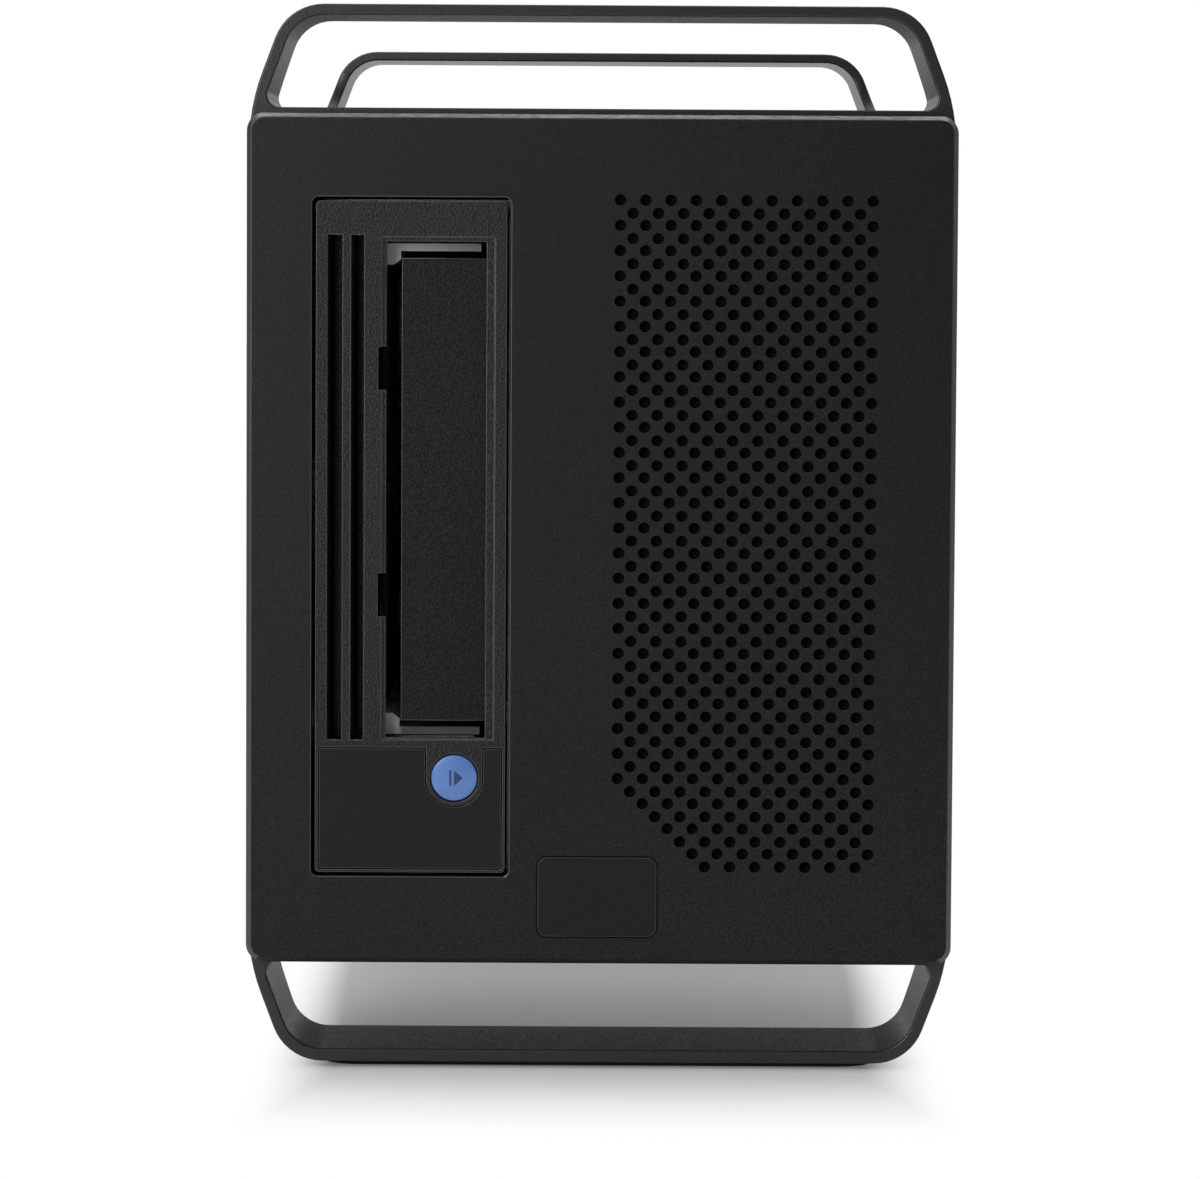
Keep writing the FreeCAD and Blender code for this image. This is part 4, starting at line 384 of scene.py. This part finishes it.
def round_edges(node, radius_mm, side=ALL, depth_mm=0.05):
    """Stands for a node with its own shape, its sharp edges rounded.

    With FRONT or REAR only the edges within depth_mm of that face are rounded. At the front they take
    a paler colour, a painted highlight along the rounded edges.
    """
    low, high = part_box(node)
    face_y = low.y if side == FRONT else high.y
    shape = bmesh.new()
    shape.from_mesh(nodes[node].data)
    bmesh.ops.remove_doubles(shape, verts=shape.verts, dist=WELD)
    bmesh.ops.dissolve_limit(shape, angle_limit=FLAT, verts=shape.verts, edges=shape.edges)
    weight = shape.edges.layers.float.new("bevel_weight_edge")
    for edge in shape.edges:
        near = side == ALL or all(abs(vert.co.y - face_y) < depth_mm * MM for vert in edge.verts)
        if near and edge.is_manifold and edge.calc_face_angle() > SHARP:
            edge[weight] = 1.0
    for face in shape.faces:
        face.smooth = True
        face.material_index = OWN_FACE
    data = bpy.data.meshes.new(node + "_form")
    shape.to_mesh(data)
    shape.free()
    piece = link_piece(node + "_form", data, node, [FINISHES[record_slots[node]], PAINTED_HIGHLIGHT_EDGE])
    bevel = piece.modifiers.new("edges", "BEVEL")
    bevel.width = radius_mm * MM
    bevel.segments = BEVEL_SEGMENTS
    bevel.limit_method = "WEIGHT"
    bevel.material = EASED_FACE if side == FRONT else BEVEL_AS_BESIDE
    bevel.use_clamp_overlap = False
    flatten = piece.modifiers.new("flat_faces", "WEIGHTED_NORMAL")
    flatten.weight = LARGE_FACES_LEAD


def sharpen(piece):
    """Smooth shading that keeps edges sharper than SHARP."""
    split = piece.modifiers.new("creases", "EDGE_SPLIT")
    split.split_angle = SHARP
    split.use_edge_sharp = False


class Plate:
    """A mesh of loops of points (x, z), each at a depth y, which walls and faces join."""

    def __init__(self):
        self.mesh = bmesh.new()

    def loop(self, points, y):
        return [self.mesh.verts.new((x, y, z)) for x, z in points]

    def wall(self, first, second, material=0):
        for i in range(len(first)):
            j = (i + 1) % len(first)
            face = self.mesh.faces.new((first[i], first[j], second[j], second[i]))
            face.material_index = material

    def walls(self, loops, materials=None):
        """A wall from each loop to the next."""
        for first, second, material in zip(loops, loops[1:], materials or [0] * len(loops)):
            self.wall(first, second, material)

    def disc(self, ring):
        self.mesh.faces.new(ring)

    def sheet(self, outer, holes):
        """Flat face inside the outer loop and round the holes, which are all convex."""
        verts, owner, edges = [], [], []
        for index, ring in enumerate([outer] + holes):
            first = len(verts)
            verts += ring
            owner += [index] * len(ring)
            edges += [(first + i, first + (i + 1) % len(ring)) for i in range(len(ring))]
        flat = [Vector((vert.co.x, vert.co.z)) for vert in verts]
        _, _, triangles, origin, _, _ = delaunay_2d_cdt(flat, edges, [], INSIDE_OUTLINE, SAME_POINT)
        for triangle in triangles:
            corners = [origin[i][0] for i in triangle]
            owners = {owner[i] for i in corners}
            if len(owners) == 1 and owners != {0}:
                continue
            self.mesh.faces.new([verts[i] for i in corners])

    def data(self, name):
        """The finished mesh. The plate can't be used after it."""
        bmesh.ops.recalc_face_normals(self.mesh, faces=self.mesh.faces)
        data = bpy.data.meshes.new(name)
        self.mesh.to_mesh(data)
        self.mesh.free()
        return data


def rounded_loop(x0, x1, z0, z1, radius):
    points = []
    for cx, cz, start in ((x1 - radius, z1 - radius, 0), (x0 + radius, z1 - radius, 90),
                          (x0 + radius, z0 + radius, 180), (x1 - radius, z0 + radius, 270)):
        for i in range(CORNER_STEPS + 1):
            turn = math.radians(start + 90 * i / CORNER_STEPS)
            points.append((cx + radius * math.cos(turn), cz + radius * math.sin(turn)))
    return points


def around(low, high, reach, radius):
    """Loop that stands a length outside a box, or inside it where the length is negative."""
    return rounded_loop(low.x - reach, high.x + reach, low.z - reach, high.z + reach, radius)


def circle(x, z, radius, steps):
    turns = [2 * math.pi * i / steps for i in range(steps)]
    return [(x + radius * math.cos(turn), z + radius * math.sin(turn)) for turn in turns]


# Front panel: a thick plate with a machined chamfer, eased edges and the perforated field

PANEL_FACE, CUT_FACE, EASE_FACE = 0, 1, 2
PANEL_RADIUS = 4.0 * MM
PANEL_CHAMFER = 1.05 * MM
CHAMFER_EASE = 0.12 * MM
# How far up the panel's lower corners the painted shade of the chamfer's bottom run reaches, as a share of
# their radius
PAINTED_SHADE_RUN_SHARE = 0.35
OPENING_GAP = 0.85 * MM
OPENING_RADIUS = 1.5 * MM
OPENING_EASE = 0.22 * MM
EASE_MIDDLE = 0.3
BADGE_GROOVE = 0.3 * MM
BADGE_RADIUS = 2.0 * MM
BADGE_EASE = 0.1 * MM
POCKET_PLAY = 0.2 * MM
POCKET_RADIUS = 3.0 * MM
GRILLE_WALL = 2.0 * MM
GRILLE_BORDER = 3.0 * MM
HOLE_RADIUS = 1.25 * MM
HOLE_EASE = 0.1 * MM
HOLE_PITCH = 5.55 * MM
HOLE_ROW_OFFSET = 2.9 * MM
HOLE_COLUMNS = 11
HOLE_ROW_PAIRS = 27
HOLE_CUT_ROW = 46
HOLE_STEPS = 20
THREAD_RADIUS = 1.53 * MM
THREAD_DEPTH = 3.6 * MM
SCREW_HEAD_RADIUS = 2.75 * MM


def grille_holes(left, top):
    """Middles of the holes. Every second row is shifted by half a pitch, and the lower left corner is cut."""
    for row in range(2 * HOLE_ROW_PAIRS):
        odd = row % 2
        for column in range(HOLE_COLUMNS - odd):
            step = column + 0.5 * odd
            if step >= (row - HOLE_CUT_ROW) / 2:
                yield left + HOLE_PITCH * step, top - HOLE_PITCH * (row // 2) - HOLE_ROW_OFFSET * odd


def bore_grille(plate, left, top, front, back):
    """Adds the field's eased holes and returns their loops at the front and at the back."""
    fronts, backs = [], []
    for x, z in grille_holes(left, top):
        bore = circle(x, z, HOLE_RADIUS, HOLE_STEPS)
        hole = [plate.loop(circle(x, z, HOLE_RADIUS + HOLE_EASE, HOLE_STEPS), front),
                plate.loop(bore, front + HOLE_EASE), plate.loop(bore, back)]
        plate.walls(hole)
        fronts.append(hole[0])
        backs.append(hole[-1])
    return fronts, backs


def bore_threads(plate, low, high, back):
    """Adds blind bores behind the panel screws, whose box is given, and returns their loops at the back."""
    mouths = []
    side = high.x - SCREW_HEAD_RADIUS
    heights = (low.z + SCREW_HEAD_RADIUS, (low.z + high.z) / 2, high.z - SCREW_HEAD_RADIUS)
    for x in (-side, side):
        for z in heights:
            bore = circle(x, z, THREAD_RADIUS, HOLE_STEPS)
            bottom = plate.loop(bore, back - THREAD_DEPTH)
            mouths.append(plate.loop(bore, back))
            plate.wall(bottom, mouths[-1])
            plate.disc(bottom)
    return mouths


def make_front_panel():
    low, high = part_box("front_panel")
    bezel_low, bezel_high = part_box("drive_bezel")
    badge_low, badge_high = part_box("badge_plate")
    filter_low, filter_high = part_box("dust_filter")
    screw_low, screw_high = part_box("panel_screws")
    front, back = low.y, high.y
    wall_back = front + GRILLE_WALL
    plate = Plate()

    def outline(inset, y):
        return plate.loop(around(low, high, -inset, PANEL_RADIUS - inset), y)

    def opening(grow, y):
        return plate.loop(around(bezel_low, bezel_high, OPENING_GAP + grow, OPENING_RADIUS + grow), y)

    def badge(grow, y):
        reach = BADGE_GROOVE + grow
        return plate.loop(around(badge_low, badge_high, reach, BADGE_RADIUS + reach), y)

    def pocket(y):
        return plate.loop(around(filter_low, filter_high, POCKET_PLAY, POCKET_RADIUS), y)

    rims = [
        outline(PANEL_CHAMFER + CHAMFER_EASE, front),
        outline(PANEL_CHAMFER - CHAMFER_EASE, front + CHAMFER_EASE),
        outline(CHAMFER_EASE, front + PANEL_CHAMFER - CHAMFER_EASE),
        outline(0, front + PANEL_CHAMFER + CHAMFER_EASE),
        outline(0, back),
    ]
    plate.walls(rims, (CUT_FACE, CUT_FACE, CUT_FACE, PANEL_FACE))
    # Painted shade: the chamfer's bottom run takes the black panel finish instead of the bright cut edge, so
    # only its sides and top are bright.
    painted_shade_below = low.z + PANEL_RADIUS * PAINTED_SHADE_RUN_SHARE
    for face in plate.mesh.faces:
        if all(vert.co.z < painted_shade_below for vert in face.verts):
            face.material_index = PANEL_FACE
    mouth = [
        opening(OPENING_EASE, front),
        opening(OPENING_EASE * EASE_MIDDLE, front + OPENING_EASE * EASE_MIDDLE),
        opening(0, front + OPENING_EASE),
        opening(0, back),
    ]
    # The opening's eased edge takes the painted highlight colour.
    plate.walls(mouth, (EASE_FACE, EASE_FACE, PANEL_FACE))
    seat = [badge(BADGE_EASE, front), badge(0, front + BADGE_EASE), badge(0, badge_high.y)]
    plate.walls(seat)
    plate.disc(seat[-1])
    pocket_floor, pocket_mouth = pocket(wall_back), pocket(back)
    plate.wall(pocket_floor, pocket_mouth)
    left = filter_low.x - POCKET_PLAY + GRILLE_BORDER
    top = filter_high.z + POCKET_PLAY - GRILLE_BORDER
    hole_fronts, hole_backs = bore_grille(plate, left, top, front, wall_back)
    threads = bore_threads(plate, screw_low, screw_high, back)
    plate.sheet(rims[0], [mouth[0], seat[0]] + hole_fronts)
    plate.sheet(pocket_floor, hole_backs)
    plate.sheet(rims[-1], [mouth[-1], pocket_mouth] + threads)
    link_piece("front_panel_form", plate.data("front_panel_form"), "front_panel",
               [FINISHES["panel_black"], CUT_EDGE, PAINTED_HIGHLIGHT_EDGE])


# Eject button: a crowned disc with the usual eject mark, turned on its side as the drive is

BUTTON_EASE = 0.45 * MM
BUTTON_EASE_TURNS = (0, 22, 45, 67, 90)
BUTTON_CROWN = 0.35 * MM
BUTTON_CROWN_SHARES = (0.2, 0.4, 0.6, 0.75)
BUTTON_FLANGE = 1.0 * MM
BUTTON_FLANGE_START = 3.25 * MM
BUTTON_STEPS = 64
MARK_THICK = 0.03 * MM
MARK_ACROSS, MARK_ALONG = 4, 12
MARK_BAR = (0.46 * MM, 3.5 * MM)
MARK_GAP = 0.6 * MM
MARK_LENGTH = 1.9 * MM
MARK_SHIFT = 0.4 * MM
MARK_NARROWING = 0.999


def crown_y(front, radius, distance):
    """Depth of the button's crowned face at a distance from its middle."""
    return front + BUTTON_CROWN * (distance / radius) ** 2


def link_mark(name, spot, surface_y, node, material):
    """Thin printed mark laid on a surface. It shows half its thickness and is sunk by the other half."""
    plate = Plate()
    layers = []
    for lift in (-MARK_THICK, MARK_THICK):
        layer = []
        for i in range(MARK_ACROSS + 1):
            spots = [spot(i / MARK_ACROSS, j / MARK_ALONG) for j in range(MARK_ALONG + 1)]
            layer.append([plate.mesh.verts.new((x, surface_y(x, z) + lift, z)) for x, z in spots])
        for row, after in zip(layer, layer[1:]):
            for j in range(MARK_ALONG):
                plate.mesh.faces.new((row[j], after[j], after[j + 1], row[j + 1]))
        layers.append(layer)
    plate.wall(*([row[0] for row in layer] + layer[-1][1:] + [row[-1] for row in layer[-2::-1]]
                 + layer[0][-2:0:-1] for layer in layers))
    link_piece(name, plate.data(name), node, [material], replaces=False)


def make_eject_button():
    low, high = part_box("eject_button")
    x, z = (low.x + high.x) / 2, (low.z + high.z) / 2
    radius = (high.x - low.x) / 2 - BUTTON_FLANGE
    front = low.y
    profile = [(radius * share, crown_y(front, radius, radius * share)) for share in BUTTON_CROWN_SHARES]
    crown_end = radius - BUTTON_EASE
    crown_end_y = crown_y(front, radius, crown_end)
    for turn in BUTTON_EASE_TURNS:
        angle = math.radians(turn)
        profile.append((crown_end + BUTTON_EASE * math.sin(angle),
                        crown_end_y + BUTTON_EASE * (1 - math.cos(angle))))
    flange_y = front + BUTTON_CROWN + BUTTON_FLANGE_START
    profile += [(radius, flange_y), (radius + BUTTON_FLANGE, flange_y), (radius + BUTTON_FLANGE, high.y)]
    plate = Plate()
    rings = [plate.loop(circle(x, z, ring_radius, BUTTON_STEPS), y) for ring_radius, y in profile]
    middle = plate.mesh.verts.new((x, front, z))
    for i in range(BUTTON_STEPS):
        plate.mesh.faces.new((middle, rings[0][i], rings[0][(i + 1) % BUTTON_STEPS]))
    plate.walls(rings)
    plate.disc(rings[-1])
    data = plate.data("eject_button_form")
    for face in data.polygons:
        face.use_smooth = True
    sharpen(link_piece("eject_button_form", data, "eject_button", [FINISHES["button_blue"]]))

    bar_width, bar_height = MARK_BAR
    whole = bar_width + MARK_GAP + MARK_LENGTH
    bar_x = x + MARK_SHIFT - whole / 2
    arrow_x = bar_x + whole - MARK_LENGTH
    half = bar_height / 2

    def bar(u, v):
        return bar_x + u * bar_width, z + (2 * v - 1) * half

    def arrow(u, v):
        return arrow_x + u * MARK_LENGTH, z + (2 * v - 1) * half * (1 - u * MARK_NARROWING)

    def face_y(mark_x, mark_z):
        return crown_y(front, radius, math.hypot(mark_x - x, mark_z - z))

    for name, spot in (("eject_mark_bar", bar), ("eject_mark_arrow", arrow)):
        link_mark(name, spot, face_y, "eject_button", SYMBOL_INK)


make_front_panel()
make_eject_button()
for node, edges in EDGES.items():
    round_edges(node, **edges)


# Studio: pale floor, white surroundings, soft boxes

FLOOR_HALF = 6.0
FLOOR_COLOR = (0.86, 0.86, 0.86, 1.0)
FLOOR_ROUGHNESS = 0.3
FLOOR_SPECULAR = 0.2
FLOOR_GLOSS_SHARE = 0.4

# Where the shadow on the floor fades into white: to both sides, in front and behind. Under the object painted
# light, a small share of glowing white, lightens the shadow, more towards the middle of its depth.
SHADOW_HALF_WIDTH = (0.054, 0.078)
SHADOW_FRONT = (-0.26, -0.15)
SHADOW_BACK = (0.165, 0.29)
UNDER_MIDDLE = (0.13, 0.0)
PAINTED_LIGHT_UNDER_SHARES = (0.12, 0.27)

# What gloss sees of the surroundings: two values of a direction's part, then the level at each of them
WORLD_LEVEL = 0.43
FRONT_END = (-0.6, -0.05)
FRONT_GLOSS = (-0.35, 0.35, 0.4, 0.02)
SIDE_GLOSS = (0.2, 0.7, 0.35, 1.0)
BEHIND_GLOSS = (-0.1, 0.4, 0.0, 0.6)

# Name, place, the point it faces, width and height, watts
SOFT_BOXES = (
    ("top_box", (0.0, 0.1, 1.3), (0.0, 0.0, 0.1), (1.4, 1.2), 12.0),
    ("left_box", (-0.95, -1.15, 0.5), (0.0, 0.0, 0.12), (0.7, 0.9), 1.6),
    ("near_box", (-0.42, -0.95, 0.42), (0.0, -0.16, 0.12), (0.35, 0.5), 4.7),
    ("right_box", (1.2, -0.4, 0.5), (0.0, 0.0, 0.12), (0.8, 0.9), 0.6),
)


def make_floor():
    """White floor that keeps the shadow under the object and shows plain white round it."""
    mesh = bpy.data.meshes.new("studio_floor")
    corners = [(x * FLOOR_HALF, y * FLOOR_HALF, 0.0) for x, y in ((-1, -1), (1, -1), (1, 1), (-1, 1))]
    mesh.from_pydata(corners, [], [(0, 1, 2, 3)])
    floor = bpy.data.objects.new("studio_floor", mesh)
    scene.collection.objects.link(floor)
    material, tree, shader = new_material("floor_white")
    shader.inputs["Base Color"].default_value = FLOOR_COLOR
    shader.inputs["Roughness"].default_value = FLOOR_ROUGHNESS
    shader.inputs["Specular IOR Level"].default_value = FLOOR_SPECULAR
    axes = own_axes(tree)
    away = faded(tree, absolute(tree, axes["X"]), *SHADOW_HALF_WIDTH)
    away = combined(tree, "MAXIMUM", away, faded(tree, axes["Y"], *SHADOW_FRONT, 1.0, 0.0))
    away = combined(tree, "MAXIMUM", away, faded(tree, axes["Y"], *SHADOW_BACK))
    # Painted light that lightens the shadow under the object.
    under = faded(tree, absolute(tree, axes["Y"]), *UNDER_MIDDLE, *PAINTED_LIGHT_UNDER_SHARES)
    away = combined(tree, "MAXIMUM", away, under)
    path = add(tree, "LightPath")
    dimmed = add(tree, "Math", operation="MULTIPLY")
    dimmed.inputs[1].default_value = FLOOR_GLOSS_SHARE
    tree.links.new(path.outputs["Is Glossy Ray"], dimmed.inputs[0])
    seen = combined(tree, "MAXIMUM", path.outputs["Is Camera Ray"], dimmed.outputs["Value"])
    seen = combined(tree, "MAXIMUM", seen, path.outputs["Is Transmission Ray"])
    share = combined(tree, "MULTIPLY", away, seen)
    white = add(tree, "Emission", Color=WHITE, Strength=1.0)
    mixed = add(tree, "MixShader")
    tree.links.new(share, mixed.inputs["Fac"])
    tree.links.new(shader.outputs["BSDF"], mixed.inputs[1])
    tree.links.new(white.outputs["Emission"], mixed.inputs[2])
    tree.links.new(mixed.outputs["Shader"], node_of(tree, "OUTPUT_MATERIAL").inputs["Surface"])
    mesh.materials.append(material)


def make_world():
    """Even soft light, shown white to the camera.

    In gloss the front of the studio is dim, most so on the right.
    """
    world = bpy.data.worlds.new("studio")
    scene.world = world
    world.use_nodes = True
    tree = world.node_tree
    tree.nodes.clear()
    path = add(tree, "LightPath")
    axes = own_axes(tree, "Generated")
    aside = combined(tree, "MAXIMUM", faded(tree, axes["Z"], *SIDE_GLOSS),
                     faded(tree, axes["Y"], *BEHIND_GLOSS))
    gloss = between(tree, faded(tree, axes["Y"], *FRONT_END), faded(tree, axes["X"], *FRONT_GLOSS), aside)
    level = add(tree, "MapRange", To_Min=WORLD_LEVEL)
    tree.links.new(path.outputs["Is Glossy Ray"], level.inputs["Value"])
    tree.links.new(gloss, level.inputs["To Max"])
    seen = combined(tree, "MAXIMUM", path.outputs["Is Camera Ray"], path.outputs["Is Transmission Ray"])
    strength = add(tree, "MapRange", To_Max=1.0)
    tree.links.new(seen, strength.inputs["Value"])
    tree.links.new(level.outputs["Result"], strength.inputs["To Min"])
    sky = add(tree, "Background", Color=WHITE)
    tree.links.new(strength.outputs["Result"], sky.inputs["Strength"])
    output = add(tree, "OutputWorld")
    tree.links.new(sky.outputs["Background"], output.inputs["Surface"])


def soft_box(name, place, target, size, power):
    lamp = bpy.data.lights.new(name, "AREA")
    lamp.shape = "RECTANGLE"
    lamp.size, lamp.size_y = size
    lamp.energy = power
    holder = bpy.data.objects.new(name, lamp)
    holder.location = place
    holder.rotation_euler = (Vector(target) - Vector(place)).to_track_quat("-Z", "Y").to_euler()
    scene.collection.objects.link(holder)


make_floor()
make_world()
for box in SOFT_BOXES:
    soft_box(*box)


# Camera, fitted to the corners of both end frames and of the body

LENS_MM = 157.485
SENSOR_MM = 36.0
CAMERA_PLACE_MM = (-1.79, -1322.35, 183.0)
CAMERA_TURN = (86.2610, -0.3252, -0.0639)
CAMERA_REACH = 20.0


def make_camera():
    lens = bpy.data.cameras.new("camera")
    lens.lens = LENS_MM
    lens.sensor_width = SENSOR_MM
    lens.sensor_fit = "AUTO"
    lens.clip_end = CAMERA_REACH
    camera = bpy.data.objects.new("camera", lens)
    camera.location = [part * MM for part in CAMERA_PLACE_MM]
    camera.rotation_euler = [math.radians(turn) for turn in CAMERA_TURN]
    scene.collection.objects.link(camera)
    scene.camera = camera


make_camera()
